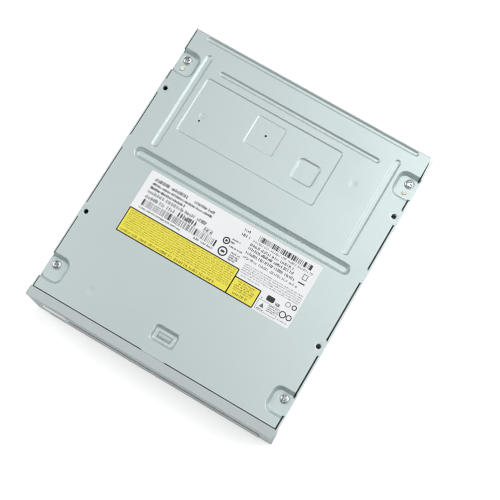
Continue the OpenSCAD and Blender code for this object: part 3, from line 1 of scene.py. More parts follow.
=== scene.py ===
# %% [markdown]
# # An internal disc writer, lying on its top cover
# This notebook dresses a half-height disc writer. Its exact solids were made before, in a CAD
# source, and they come in here as a fixed frame: every piece already has its place, its size and
# the body that it moves with. What is left is what an eye would notice: the pressed sheet of the
# underside plate, the printed label, screws, plastics and metals with their wear, and the light.

# %% Load the frame
import json
import math
import random

import bpy
import numpy as np
from mathutils import Matrix, Vector


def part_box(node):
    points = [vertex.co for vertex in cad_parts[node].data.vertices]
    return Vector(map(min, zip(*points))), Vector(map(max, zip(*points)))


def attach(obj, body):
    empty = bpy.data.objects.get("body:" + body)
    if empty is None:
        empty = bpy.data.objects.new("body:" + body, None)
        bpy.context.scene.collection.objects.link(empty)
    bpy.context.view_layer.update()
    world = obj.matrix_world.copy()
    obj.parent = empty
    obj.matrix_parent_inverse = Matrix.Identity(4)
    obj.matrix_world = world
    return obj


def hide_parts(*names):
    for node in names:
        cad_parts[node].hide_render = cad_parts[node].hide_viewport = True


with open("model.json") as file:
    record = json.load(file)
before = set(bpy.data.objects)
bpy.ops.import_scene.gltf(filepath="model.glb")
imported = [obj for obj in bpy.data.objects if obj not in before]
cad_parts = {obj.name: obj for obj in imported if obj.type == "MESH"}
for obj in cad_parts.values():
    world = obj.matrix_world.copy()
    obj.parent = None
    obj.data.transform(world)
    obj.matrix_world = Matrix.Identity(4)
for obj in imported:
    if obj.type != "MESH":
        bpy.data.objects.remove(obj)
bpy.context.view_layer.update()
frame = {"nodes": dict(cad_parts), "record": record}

MM = 0.001
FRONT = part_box("top_cover")[0].y / MM

# %% [markdown]
# ## The camera
# The drive was photographed from almost straight above, turned on the table by 30 degrees. The
# four threaded holes of the underside form a known rectangle, 139.7 by 79.25 mm, so the camera's
# place and lens can be worked out from where they stand in the picture. A long lens far away
# keeps the sides nearly parallel, as they are in the photograph. The pixel filter is narrower than
# usual, so that small print stays crisp.

# %% Camera
LENS_MM = 83.41
PIXEL_FILTER = 1.1
CAMERA_POSE = Matrix((
    (0.861548, -0.495683, 0.109696, 0.08018),
    (0.507664, 0.839735, -0.192670, -0.12194),
    (0.003387, 0.221684, 0.975113, 0.62641),
    (0, 0, 0, 1)))

camera_data = bpy.data.cameras.new("camera")
camera_data.sensor_width = 36
camera_data.lens = LENS_MM
camera = bpy.data.objects.new("camera", camera_data)
camera.matrix_world = CAMERA_POSE
bpy.context.scene.collection.objects.link(camera)
bpy.context.scene.camera = camera
bpy.context.scene.view_settings.view_transform = "Standard"
bpy.context.scene.cycles.filter_width = PIXEL_FILTER
print("camera height over the table in mm:", round(camera.matrix_world.translation.z / MM))

# %% [markdown]
# ## The floor
# Product pictures are taken on white paper. The floor is matt white, and it glows for rays that
# come straight from the camera or by way of something glossy or clear: so it looks white and adds
# no light to the object. Close to the object the glow is weak, which keeps the shadow visible, and
# further out it is full, which keeps the horizon of low views white.

# %% Floor
FLOOR_HALF = 12.0
NEAR_GLOW, FAR_GLOW = 0.5, 1.0
NEAR_REACH, FAR_REACH = 0.8, 2.0


def new_object(name, mesh):
    """Puts a mesh into the scene under a name."""
    obj = bpy.data.objects.new(name, mesh)
    bpy.context.scene.collection.objects.link(obj)
    return obj


def set_inputs(node, **values):
    """Sets inputs of a node, or links sockets to them, by name with an underscore for each space."""
    for label, value in values.items():
        socket = node.inputs[label.replace("_", " ")]
        if isinstance(value, bpy.types.NodeSocket):
            node.id_data.links.new(value, socket)
        else:
            socket.default_value = value


def add_node(tree, kind, **values):
    """Adds a shader node of a kind and sets its inputs."""
    node = tree.nodes.new("ShaderNode" + kind)
    set_inputs(node, **values)
    return node


def math_node(tree, operation, first, second, clamp=False):
    """A math node; its operands are numbers or output sockets."""
    node = add_node(tree, "Math")
    node.operation = operation
    node.use_clamp = clamp
    for slot, value in enumerate((first, second)):
        if isinstance(value, (int, float)):
            node.inputs[slot].default_value = value
        else:
            tree.links.new(value, node.inputs[slot])
    return node.outputs[0]


def paper_material():
    """Matt white paper that glows for the camera and for mirror-like rays."""
    paper = bpy.data.materials.new("studio_paper")
    paper.use_nodes = True
    tree = paper.node_tree
    shader = tree.nodes["Principled BSDF"]
    set_inputs(shader, Base_Color=(0.93, 0.93, 0.93, 1), Roughness=0.9, Specular_IOR_Level=0.2,
               Emission_Color=(1, 1, 1, 1))
    path = add_node(tree, "LightPath")
    seen = path.outputs["Is Camera Ray"]
    for kind in ("Is Glossy Ray", "Is Transmission Ray"):
        seen = math_node(tree, "MAXIMUM", seen, path.outputs[kind])
    distance = add_node(tree, "VectorMath")
    distance.operation = "LENGTH"
    tree.links.new(add_node(tree, "NewGeometry").outputs["Position"], distance.inputs[0])
    glow = add_node(tree, "MapRange", Value=distance.outputs["Value"], From_Min=NEAR_REACH,
                    From_Max=FAR_REACH, To_Min=NEAR_GLOW, To_Max=FAR_GLOW)
    strength = math_node(tree, "MULTIPLY", seen, glow.outputs["Result"])
    set_inputs(shader, Emission_Strength=strength)
    return paper


floor_mesh = bpy.data.meshes.new("floor")
floor_mesh.from_pydata([(x * FLOOR_HALF, y * FLOOR_HALF, 0)
                        for x, y in ((-1, -1), (1, -1), (1, 1), (-1, 1))], [], [(0, 1, 2, 3)])
floor_mesh.materials.append(paper_material())
floor = new_object("floor", floor_mesh)
print("floor side in m:", 2 * FLOOR_HALF)

# %% [markdown]
# ## The light
# A large soft lamp over the right rear corner gives the sheet metal its slow change of tone, and
# it leaves the rear walls of the pressed recesses darker. A weak lamp at the left and an even world
# fill the shadows. The levels add up to about 1 on a surface that faces up, so a colour shows about
# as it is written.

# %% Lamps and world
# name: place, side of the square and watts
LAMPS = {"key_lamp": ((0.85, 0.85, 1.65), 2.1, 41.0), "side_lamp": ((-0.6, -0.1, 0.6), 0.5, 2.5)}
LAMP_AIM = Vector((0, 0, 0.03))
WORLD_LEVEL = 0.16


def soft_lamp(name, place, size, watts):
    """A square lamp that faces the middle of the drive."""
    data = bpy.data.lights.new(name, "AREA")
    data.shape = "SQUARE"
    data.size = size
    data.energy = watts
    lamp = bpy.data.objects.new(name, data)
    lamp.location = place
    lamp.rotation_euler = (LAMP_AIM - Vector(place)).to_track_quat("-Z", "Y").to_euler()
    bpy.context.scene.collection.objects.link(lamp)


for name, values in LAMPS.items():
    soft_lamp(name, *values)
world = bpy.data.worlds.new("studio")
world.use_nodes = True
set_inputs(world.node_tree.nodes["Background"], Color=(1, 1, 1, 1), Strength=WORLD_LEVEL)
bpy.context.scene.world = world
print("lamps:", list(LAMPS))

# %% [markdown]
# ## Shared effects as node groups
# Every finish here is a plain colour that something has happened to: handling leaves soft blotches,
# rolling or moulding leaves a fine grain, and edges are rubbed brighter. Each of these effects is
# one node group with its own inputs, so that a material only says how much of it there is. The
# groups read object coordinates in metres, which keeps the grain at its real size on every piece.

# %% Node group helpers
def new_group(name, inputs, outputs):
    """An empty shader node group with float sockets; returns its tree and its two end nodes."""
    tree = bpy.data.node_groups.new(name, "ShaderNodeTree")
    for label, value in inputs:
        socket = tree.interface.new_socket(label, in_out="INPUT", socket_type="NodeSocketFloat")
        socket.default_value = value
    for label in outputs:
        tree.interface.new_socket(label, in_out="OUTPUT", socket_type="NodeSocketFloat")
    return tree, tree.nodes.new("NodeGroupInput"), tree.nodes.new("NodeGroupOutput")


def noise_node(tree, vector, scale, detail=3.0, roughness=0.55):
    """The value of a noise texture; scale is a number or a socket."""
    return add_node(tree, "TexNoise", Vector=vector, Scale=scale, Detail=detail,
                    Roughness=roughness).outputs[0]


def smooth_step(tree, value, low, high):
    """0 below low, 1 above high and a soft rise between them."""
    node = add_node(tree, "MapRange", Value=value, From_Min=low, From_Max=high)
    node.interpolation_type = "SMOOTHSTEP"
    return node.outputs["Result"]


def object_place(tree):
    """Object coordinates, in metres."""
    return add_node(tree, "TexCoord").outputs["Object"]


# %% [markdown]
# ### The four effects
# Blotches come from large noise with soft steps. Grain is the sum of fine and coarse noise, used as
# a height. Lines of rolled or turned metal are noise that is stretched along one axis. Rubbed edges
# are found by comparing the true normal with one that is rounded off, and they are broken up by
# noise, because no edge wears evenly.

# %% Blotches, grain, brush lines and edge wear
EDGE_RADIUS = 0.4 * MM


def make_blotches():
    """Large soft patches, as handling and storage leave them."""
    tree, start, end = new_group("blotches", [("Scale", 40.0)], ["Mask"])
    place = object_place(tree)
    value = noise_node(tree, place, start.outputs["Scale"], 4.0, 0.6)
    tree.links.new(smooth_step(tree, value, 0.35, 0.68), end.inputs["Mask"])
    return tree


def make_grain():
    """A fine even grain: eroded mould texture, rolled sheet or cast skin."""
    tree, start, end = new_group("grain", [("Scale", 2500.0)], ["Height", "Mask"])
    place = object_place(tree)
    fine = noise_node(tree, place, start.outputs["Scale"], 2.0, 0.5)
    coarse = noise_node(tree, place, math_node(tree, "MULTIPLY", start.outputs["Scale"], 0.27), 2.0)
    tree.links.new(math_node(tree, "ADD", fine, coarse), end.inputs["Height"])
    tree.links.new(smooth_step(tree, fine, 0.4, 0.62), end.inputs["Mask"])
    return tree


def make_brush():
    """Lines of a rolled, drawn or turned metal; Stretch is how long they are for their width."""
    tree, start, end = new_group("brush_lines", [("Scale", 900.0), ("Stretch", 30.0)], ["Mask"])
    parts = add_node(tree, "SeparateXYZ", Vector=object_place(tree)).outputs
    squeezed = math_node(tree, "DIVIDE", parts["Y"], start.outputs["Stretch"])
    joined = add_node(tree, "CombineXYZ", X=parts["X"], Y=squeezed, Z=parts["Z"])
    value = noise_node(tree, joined.outputs[0], start.outputs["Scale"], 2.0)
    tree.links.new(smooth_step(tree, value, 0.3, 0.7), end.inputs["Mask"])
    return tree


def make_edge_wear():
    """1 on rubbed outer edges, broken up by noise, and 0 on the faces."""
    tree, start, end = new_group("edge_wear", [("Strength", 1.0)], ["Mask"])
    bevel = add_node(tree, "Bevel", Radius=EDGE_RADIUS)
    bevel.samples = 4
    dot = add_node(tree, "VectorMath")
    dot.operation = "DOT_PRODUCT"
    for slot, node in enumerate((bevel, add_node(tree, "NewGeometry"))):
        tree.links.new(node.outputs["Normal"], dot.inputs[slot])
    bent = math_node(tree, "SUBTRACT", 1.0, dot.outputs["Value"])
    broken = smooth_step(tree, noise_node(tree, object_place(tree), 350.0, 4.0, 0.65), 0.38, 0.62)
    edge = math_node(tree, "MULTIPLY", smooth_step(tree, bent, 0.02, 0.2), broken)
    tree.links.new(math_node(tree, "MULTIPLY", edge, start.outputs["Strength"], clamp=True),
                   end.inputs["Mask"])
    return tree


GROUPS = {g.name: g for g in (make_blotches(), make_grain(), make_brush(), make_edge_wear())}
print("node groups:", sorted(GROUPS))

# %% [markdown]
# ## One recipe for finishes
# A finish starts from its clean colour. Blotches shift it a little and change the gloss, the grain
# gives a bump that catches light, and wear lifts the edges to a second colour. Values that are the
# same everywhere, such as how metallic a surface is, are typed straight into the shader.

# %% The finish recipe
LINE_SHARE = 0.35
LINE_SHADE = 0.8


def group_node(tree, name, **values):
    """Places a shared group in a material and sets its inputs."""
    node = add_node(tree, "Group")
    node.node_tree = GROUPS[name]
    set_inputs(node, **values)
    return node


def mix_colour(tree, mask, first, second):
    """Colour that goes from first to second with the mask; each is a tuple or a socket."""
    node = add_node(tree, "Mix")
    node.data_type = "RGBA"
    tree.links.new(mask, node.inputs["Factor"])
    for label, value in (("A", first), ("B", second)):
        socket = next(s for s in node.inputs if s.name == label and s.type == "RGBA")
        if isinstance(value, tuple):
            socket.default_value = (*value, 1)
        else:
            tree.links.new(value, socket)
    return next(s for s in node.outputs if s.type == "RGBA")


def linear(r, g, b):
    """Linear colour from the 0 to 255 numbers that a picture shows."""
    return tuple((c / 255 / 12.92) if c <= 10 else ((c / 255 + 0.055) / 1.055) ** 2.4
                 for c in (r, g, b))


def shade(colour, factor):
    """The same colour, darker or lighter."""
    return tuple(min(1.0, c * factor) for c in colour)


def finish(name, rgb, gloss, metallic, grain, bump, depth, blotch, blotch_scale, worn=None, wear=0.5,
           brush=None, **sockets):
    """A material: its colour in 0 to 255, gloss range, metallic, grain size, bump strength and depth
    in mm, shade and size of the blotches, colour and strength of worn edges, lines as (scale,
    stretch), and any other shader socket by name."""
    material = bpy.data.materials.new(name)
    material.use_nodes = True
    tree = material.node_tree
    shader = tree.nodes["Principled BSDF"]
    set_inputs(shader, Metallic=metallic, **sockets)
    colour = linear(*rgb)
    blotches = group_node(tree, "blotches", Scale=blotch_scale).outputs["Mask"]
    result = mix_colour(tree, blotches, colour, shade(colour, blotch))
    grains = group_node(tree, "grain", Scale=grain)
    gloss_mask = blotches
    if brush:
        lines = group_node(tree, "brush_lines", Scale=brush[0], Stretch=brush[1]).outputs["Mask"]
        line_share = math_node(tree, "MULTIPLY", lines, LINE_SHARE)
        result = mix_colour(tree, line_share, result, shade(colour, LINE_SHADE))
        gloss_mask = math_node(tree, "MULTIPLY", math_node(tree, "ADD", blotches, lines), 0.5)
    if worn:
        edges = group_node(tree, "edge_wear", Strength=wear).outputs["Mask"]
        result = mix_colour(tree, edges, result, linear(*worn))
    both = math_node(tree, "ADD", gloss_mask, grains.outputs["Mask"])
    spread = add_node(tree, "MapRange", Value=math_node(tree, "MULTIPLY", both, 0.5),
                      To_Min=gloss[0], To_Max=gloss[1])
    relief = add_node(tree, "Bump", Height=grains.outputs["Height"], Strength=bump,
                      Distance=depth * MM)
    set_inputs(shader, Base_Color=result, Roughness=spread.outputs["Result"],
               Normal=relief.outputs["Normal"])
    return material


# %% [markdown]
# ## The finishes of a disc writer
# The case is steel sheet with a thin zinc skin: pale, slightly blue, satin, and brighter where it
# was cut. The bezel is grey moulded plastic with a fine eroded texture. Inside there are a cream
# frame, a white tray, black carriers, bright drawn steel rods, a green board and rubber.

# %% All materials
# name: colour, gloss range, metallic, grain size, bump, bump depth, blotch shade, blotch size, and
# for some the colour and strength of worn edges and the lines
LOOKS = {
    "zinc_sheet": ((198, 210, 210), (0.42, 0.5), 0.55, 2200, 0.05, 0.01, 0.985, 24, (226, 232, 232), 0.5),
    "screw_steel": ((214, 218, 220), (0.2, 0.36), 0.95, 3000, 0.1, 0.01, 0.85, 300, (238, 240, 240), 0.5),
    "label_paper": ((240, 242, 243), (0.36, 0.48), 0, 1500, 0.12, 0.01, 0.97, 60),
    "print_black": ((38, 42, 47), (0.4, 0.5), 0, 1500, 0.1, 0.005, 0.9, 300),
    "print_grey": ((100, 108, 114), (0.4, 0.5), 0, 1500, 0.1, 0.005, 0.94, 300),
    "print_yellow": ((240, 228, 76), (0.36, 0.46), 0, 1500, 0.1, 0.005, 0.97, 90),
    "print_olive": ((116, 100, 8), (0.4, 0.5), 0, 1500, 0.1, 0.005, 0.95, 300),
    "bezel_plastic": ((186, 196, 197), (0.45, 0.6), 0, 2600, 0.35, 0.02, 0.965, 30, (218, 221, 220), 0.4),
    # the button's colour is whiter than its plastic: painted highlight for the light that its rounded top
    # catches
    "button_plastic": ((250, 254, 253), (0.38, 0.5), 0, 2600, 0.25, 0.02, 0.96, 60, (234, 238, 238), 0.4),
    "lens_plastic": ((196, 214, 150), (0.12, 0.22), 0, 1500, 0.05, 0.01, 0.95, 100),
    "lamp_plastic": ((225, 240, 215), (0.1, 0.2), 0, 1500, 0.05, 0.01, 0.95, 100),
    "board": ((28, 98, 62), (0.25, 0.4), 0, 900, 0.15, 0.02, 0.8, 220, (150, 160, 110), 0.4),
    "black_plastic": ((42, 43, 46), (0.4, 0.55), 0, 2500, 0.25, 0.02, 0.85, 80, (84, 86, 90), 0.4),
    "red_plastic": ((200, 60, 40), (0.4, 0.5), 0, 2500, 0.2, 0.02, 0.9, 80, (225, 110, 90), 0.4),
    "cream_plastic": ((232, 226, 205), (0.4, 0.55), 0, 1800, 0.25, 0.02, 0.95, 50, (243, 239, 224), 0.4),
    "tray_plastic": ((235, 235, 230), (0.35, 0.5), 0, 2300, 0.25, 0.02, 0.96, 40, (246, 246, 243), 0.4),
    "gear_plastic": ((236, 233, 222), (0.3, 0.42), 0, 1500, 0.1, 0.02, 0.94, 120, (246, 244, 236), 0.4),
    "belt_rubber": ((32, 32, 33), (0.65, 0.8), 0, 1800, 0.3, 0.02, 0.8, 150, (62, 62, 63), 0.5),
    "damper_rubber": ((70, 71, 75), (0.6, 0.75), 0, 1800, 0.3, 0.02, 0.85, 150, (98, 99, 102), 0.4),
    "pad_rubber": ((180, 196, 208), (0.6, 0.75), 0, 1500, 0.3, 0.03, 0.9, 150),
    "brass": ((212, 178, 104), (0.2, 0.34), 1, 2000, 0.1, 0.01, 0.85, 200,
              (236, 210, 150), 0.5, (1500, 20)),
    "bright_steel": ((198, 200, 204), (0.18, 0.32), 1, 2200, 0.08, 0.01, 0.9, 80,
                     (228, 230, 232), 0.5, (900, 24)),
    "spring_steel": ((206, 200, 172), (0.2, 0.34), 1, 2200, 0.08, 0.01, 0.88, 120,
                     (228, 224, 204), 0.5, (900, 20)),
    "magnet": ((150, 152, 158), (0.25, 0.4), 0.9, 1500, 0.15, 0.01, 0.85, 150, (190, 192, 196), 0.5),
    "cast_alloy": ((150, 152, 156), (0.45, 0.62), 0.7, 1100, 0.4, 0.05, 0.88, 120, (186, 188, 190), 0.5),
    "lens_glass": ((190, 205, 240), (0.02, 0.05), 0, 900, 0.02, 0.01, 0.97, 100),
    "can_aluminium": ((205, 208, 212), (0.28, 0.4), 1, 2200, 0.08, 0.01, 0.9, 150,
                      (228, 230, 232), 0.4, (1200, 10)),
    "socket_plastic": ((228, 222, 202), (0.4, 0.55), 0, 2000, 0.2, 0.02, 0.93, 120, (240, 236, 222), 0.4)}
COATS = {"lens_plastic": {"Transmission_Weight": 0.6, "IOR": 1.49},
         "lamp_plastic": {"Transmission_Weight": 0.6, "IOR": 1.5},
         "lens_glass": {"Transmission_Weight": 0.9, "IOR": 1.52, "Coat_Weight": 0.5},
         "board": {"Coat_Weight": 0.3}}
FINISHES = {name: finish(name, *look, **COATS.get(name, {})) for name, look in LOOKS.items()}
print("finishes:", len(FINISHES))

# %% [markdown]
# ## Dress the solids
# Most solids keep their exact shape and only get their finish. Real edges are never perfectly
# sharp, and a small rounding is what catches light along them. The imported triangles are first
# welded, then a bevel rounds each edge that turns by more than 35 degrees; both are modifiers, so
# the frame's own mesh stays as it was made.

# %% Finish and rounding on every node
SLOTS = {row["node"]: row["material_slot"] for row in frame["record"]["subparts"]}
ROUNDING = {"front_bezel": 0.35, "tray_door": 0.4, "eject_button": 0.3, "disc_tray": 0.25,
            "main_frame": 0.25, "top_cover": 0.12, "data_power_connector": 0.2,
            "capacitors": 0.4, "loading_motor": 0.3, "sled_motor": 0.3, "clamper_hub": 0.2}
DEFAULT_ROUNDING = 0.1
SHARP_DEGREES = 35
WELD_GAP = 1e-6


def soften(obj, width):
    """Welds the triangles and rounds the sharp edges by a width in mm."""
    weld = obj.modifiers.new("weld", "WELD")
    weld.merge_threshold = WELD_GAP
    bevel = obj.modifiers.new("bevel", "BEVEL")
    bevel.width = width * MM
    bevel.segments = 2
    bevel.limit_method = "ANGLE"
    bevel.angle_limit = math.radians(SHARP_DEGREES)
    bevel.use_clamp_overlap = True
    bevel.harden_normals = True


def dress(obj, slot, look=None):
    """Gives an object a finish, the slot's own or another."""
    obj.data.materials.clear()
    obj.data.materials.append(FINISHES[look or slot])


for node, obj in frame["nodes"].items():
    dress(obj, SLOTS[node])
    soften(obj, ROUNDING.get(node, DEFAULT_ROUNDING))
print("dressed nodes:", len(SLOTS))

# %% [markdown]
# ## The underside plate
# The plate is one steel sheet of 0.8 mm with beads, pockets and a panel pressed into it. Booleans
# would give knife edges, while a press leaves soft bends, so the sheet is built as a grid that is
# fine only where it bends. The depth at each point comes from its distance to the outline of
# every recess, a rectangle with round corners. The rear edge folds down, the holes are round
# patches set into the grid, and a second layer under the first gives the sheet its thickness.

# %% Measures of the plate, in mm from the case's front edge and middle
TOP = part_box("bottom_plate")[1].z / MM
SHEET = 0.8
PLATE_EDGES = (-71.9, 71.6)
PLATE_Y0, PLATE_Y1 = 0.5, 165.0
# the tabs of the long sides and the floors of the pockets reach further out than the plate's edges
TAB_HALF = 73.0
TABS = [(43, 52), (87, 95), (122.45, 131.45)]
POCKET_FLOORS = [(8.3, 18.7), (139.3, 149.7)]
# the tongue reaches the bezel in the middle of the front edge
TONGUE = (-6.8, 6.5)
TONGUE_Y0 = 0.1
# the rear edge bends down and leaves the connector free
FOLD = 6.6
BEND_R = 1.0
CONNECTOR_CUT = (8.5, 53.5)
CONNECTOR_CUT_Z = 38.25
# the bezel's catch shows through the window in the latch pocket
WINDOW = (-4.0, 9.8, 4.0, 13.2)
# threaded holes, case screws, the frame's pins beside the rear screws, and the hole over the chip
HOLE_X, HOLE_YS = 69.85, (47.4, 126.65)
SCREW_X, SCREW_YS = 68.3, (15.9, 146.9)
PIN_Y = 141.5
CHIP_HOLE = (-10, 130.75)
POCKET = (3.0, 1.6, 4.5)
THIN_BEAD = (0.7, 0.8, 1.44)
DENT_HALF, SEAT_HALF = 2.8, 2.85
RECESSES = [
    # x0, y0, x1, y1, depth, run of the wall, corner radius; first the pockets and the long groove
    *[(x, y, x + 18, y + 15, *POCKET) for y in (6, 137) for x in (61, -79)],
    (-65.5, 86, 64.5, 92.4, 2.05, 1.85, 3.2),
    # beads at the rear, left and right
    (-65, 161.1, 65, 164, *THIN_BEAD), (-49, 147.3, 49, 150.2, *THIN_BEAD),
    (-60.1, 95.5, -56.1, 155, 0.6, 0.95, 1.99), (55.6, 95.5, 59.3, 155, 0.55, 0.85, 1.84),
    # the wide panel, the latch pocket, the two squares and a small imprint
    (-53, 109.5, 30.5, 143.5, 0.4, 0.5, 1.8), (-7.1, 7.3, 7.1, 16.3, 1.5, 1.4, 2.2),
    (-19, 122, -1.5, 139.5, 0.22, 0.45, 1.2), (11.6, 117.35, 24.9, 130.65, 0.6, 1.0, 2.4),
    (-46.2, 121.6, -43.4, 125.0, 0.07, 0.35, 0.5),
    # two faint round dents, and the seats of the four screws
    *[(x - DENT_HALF, y - DENT_HALF, x + DENT_HALF, y + DENT_HALF, 0.13, 2.4, 2.78)
      for x, y in ((43, 131), (-45, 13))],
    *[(side * SCREW_X - SEAT_HALF, y - SEAT_HALF, side * SCREW_X + SEAT_HALF, y + SEAT_HALF,
       0.15, 0.3, 2.84) for side in (-1, 1) for y in SCREW_YS]]
HOLES = [
    # x, y, radius, half of the patch round it, how far its rim is drawn in
    *[(side * HOLE_X, y, 1.42, 2.03, 0.06) for side in (-1, 1) for y in HOLE_YS],
    *[(side * SCREW_X, y, 1.45, 2.2, 0.0) for side in (-1, 1) for y in SCREW_YS],
    *[(side * SCREW_X, PIN_Y, 1.25, 1.9, 0.0) for side in (-1, 1)],
    (*CHIP_HOLE, 0.62, 1.2, 0.0), (-44.8, 120, 0.55, 1.0, 0.0)]
print("recesses and holes:", len(RECESSES), len(HOLES))

# %% [markdown]
# ### How deep the press goes
# A recess is a rectangle with round corners. Its depth depends only on how far inside the outline a
# point lies: nothing outside, full depth beyond the wall, and between them a soft step that is
# partly straight. The rims of the threaded holes are drawn in a little.

# %% Press depth at a point
WALL_SOFT = 0.08
CURVED_SHARE, STRAIGHT_SHARE = 0.6, 0.4
RIM_WIDTH = 0.9


def outline_distance(x, y, box, radius):
    """Distance to a rectangle with round corners: below 0 inside."""
    x0, y0, x1, y1 = box
    dx = np.abs(x - (x0 + x1) / 2) - (x1 - x0) / 2 + radius
    dy = np.abs(y - (y0 + y1) / 2) - (y1 - y0) / 2 + radius
    outside = np.hypot(np.maximum(dx, 0), np.maximum(dy, 0))
    return outside + np.minimum(np.maximum(dx, dy), 0) - radius


def press_depth(x, y):
    """How far the sheet lies under its flat level at a point, in mm."""
    depth = np.zeros_like(x)
    for x0, y0, x1, y1, deep, run, radius in RECESSES:
        inside = -outline_distance(x, y, (x0, y0, x1, y1), radius)
        t = np.clip((inside + WALL_SOFT) / (run + 2 * WALL_SOFT), 0, 1)
        depth += deep * (CURVED_SHARE * t * t * (3 - 2 * t) + STRAIGHT_SHARE * t)
    for hx, hy, radius, _, drawn in HOLES:
        t = np.clip((np.hypot(x - hx, y - hy) - radius) / RIM_WIDTH, 0, 1)
        depth += drawn * (1 - t * (2 - t))
    return depth


# %% [markdown]
# ### True normals
# A smooth surface on a grid of uneven cells looks dented, because each corner's normal is averaged
# over a small cell on one side and a large one on the other. The press depth is a formula, so the
# true normal is known as well: it comes from the slope of the formula, and it is given to the mesh
# as a custom normal.

# %% Slope and normals of the pressed sheet
PROBE = 0.02


def press_slope(x, y):
    """Slopes of the press depth along x and y."""
    along_x = (press_depth(x + PROBE, y) - press_depth(x - PROBE, y)) / (2 * PROBE)
    along_y = (press_depth(x, y + PROBE) - press_depth(x, y - PROBE)) / (2 * PROBE)
    return along_x, along_y


def sheet_frame(s):
    """How far the sheet has turned down at s, and how far it has gone down after the bend."""
    start = PLATE_Y1 - BEND_R
    turn = np.clip((s - start) / BEND_R, 0, math.pi / 2)
    return start, turn, np.maximum(s - start - BEND_R * math.pi / 2, 0)


def sheet_points(x, s, layer):
    """Places of sheet points: s runs along y, round the rear bend and down the fold."""
    start, turn, down = sheet_frame(s)
    sink = np.where(turn > 0, 0, press_depth(x, s)) + layer * SHEET
    y = np.minimum(s, start) + (BEND_R - sink) * np.sin(turn) + FRONT
    z = TOP - BEND_R * (1 - np.cos(turn)) - down - sink * np.cos(turn)
    return np.stack([x, y, z], axis=1) * MM


def sheet_normals(x, s):
    """Outer normals of the sheet at the same points."""
    _, turn, _ = sheet_frame(s)
    along_x, along_y = press_slope(x, s)
    flat = turn == 0
    normal = np.stack([np.where(flat, along_x, 0), np.where(flat, along_y, np.sin(turn)),
                       np.where(flat, 1, np.cos(turn))], axis=1)
    return normal / np.linalg.norm(normal, axis=1)[:, None]


# %% [markdown]
# ### Where the grid lines go
# Every line runs through the whole sheet, so each one has to earn its place. A wall gets lines at
# its foot and top, a few on its slope, and two close by outside it: those end the bend's shading,
# which would otherwise fade over a long flat cell and look like a soft dark band.

# %% Grid lines that are dense at the bends
LINE_GAP = 0.155
FLAT_STEP = 16.0
SHALLOW = 0.2
NEAR_WALL, BY_WALL = 0.06, 0.22
CORNER_STEP, SHALLOW_STEP = 0.6, 1.4
BEND_STEPS = 6
FOLD_STEP = 1.7


def recess_lines(edge, side, deep, run, radius):
    """Grid lines over one edge of a recess: close over its wall, wider over its corners."""
    if deep > SHALLOW:
        step = CORNER_STEP
        offsets = [-BY_WALL, -NEAR_WALL, 0.2 * run, 0.5 * run, 0.8 * run, run + NEAR_WALL, run + BY_WALL]
    else:
        step = SHALLOW_STEP
        offsets = [-0.1, 0.5 * run, run + 0.1]
    while offsets[-1] < radius:
        offsets.append(offsets[-1] + step)
    return [edge + side * k for k in offsets]


def grid_lines(low, high, axis, exact):
    """Coordinates of the grid lines along x (axis 0) or y (axis 1)."""
    lines = []
    for recess in RECESSES:
        for edge, side in ((recess[axis], 1), (recess[axis + 2], -1)):
            lines += recess_lines(edge, side, *recess[4:7])
    for hole in HOLES:
        lines += [hole[axis] + hole[3] * k for k in (-0.45, 0, 0.45)]
    exact = [low, high, WINDOW[axis], WINDOW[axis + 2]] + exact
    exact += [hole[axis] + hole[3] * k for hole in HOLES for k in (-1, 1)]
    kept = sorted(set(round(v, 4) for v in exact if low <= v <= high))
    for value in sorted(lines):
        if low < value < high and min(abs(value - k) for k in kept) > LINE_GAP:
            kept.append(value)
    kept.sort()
    filled = []
    for a, b in zip(kept, kept[1:]):
        steps = max(1, math.ceil((b - a) / FLAT_STEP))
        filled += [a + (b - a) * i / steps for i in range(steps)]
    return np.array(filled + [kept[-1]])


xs = grid_lines(-TAB_HALF, TAB_HALF, 0, [*PLATE_EDGES, *TONGUE, *CONNECTOR_CUT])
side_spans = [y for span in TABS + POCKET_FLOORS for y in span]
flat_ys = grid_lines(TONGUE_Y0, PLATE_Y1 - BEND_R, 1, [PLATE_Y0] + side_spans)
bend_end = PLATE_Y1 - BEND_R + BEND_R * math.pi / 2
cut_s = bend_end + TOP - BEND_R - CONNECTOR_CUT_Z
bend = [PLATE_Y1 - BEND_R + BEND_R * math.pi / 2 * i / BEND_STEPS for i in range(1, BEND_STEPS + 1)]
ss = np.concatenate([flat_ys, bend, [cut_s, cut_s + FOLD_STEP, bend_end + FOLD - BEND_R]])
print("grid lines across and along the plate:", len(xs), len(ss))


# %% [markdown]
# ### Cells and holes
# Cells in the notches, the window and the connector's cut are left out. A round hole takes the
# place of a square of cells: rings of faces lead from the square's lines to the circle.

# %% Cells that are kept, and patches round the holes
RING_SHARES = (0.3, 0.6, 0.85, 1.0)


def cell_kept(x, s):
    """Whether the cell about this middle is part of the sheet."""
    widened = any(a < s < b for a, b in TABS + POCKET_FLOORS)
    if not (PLATE_EDGES[0] < x < PLATE_EDGES[1] or widened):
        return False
    if s < PLATE_Y0 and not TONGUE[0] < x < TONGUE[1]:
        return False
    if WINDOW[0] < x < WINDOW[2] and WINDOW[1] < s < WINDOW[3]:
        return False
    if s > cut_s and CONNECTOR_CUT[0] < x < CONNECTOR_CUT[1]:
        return False
    return not any(abs(x - h[0]) < h[3] and abs(s - h[1]) < h[3] for h in HOLES)


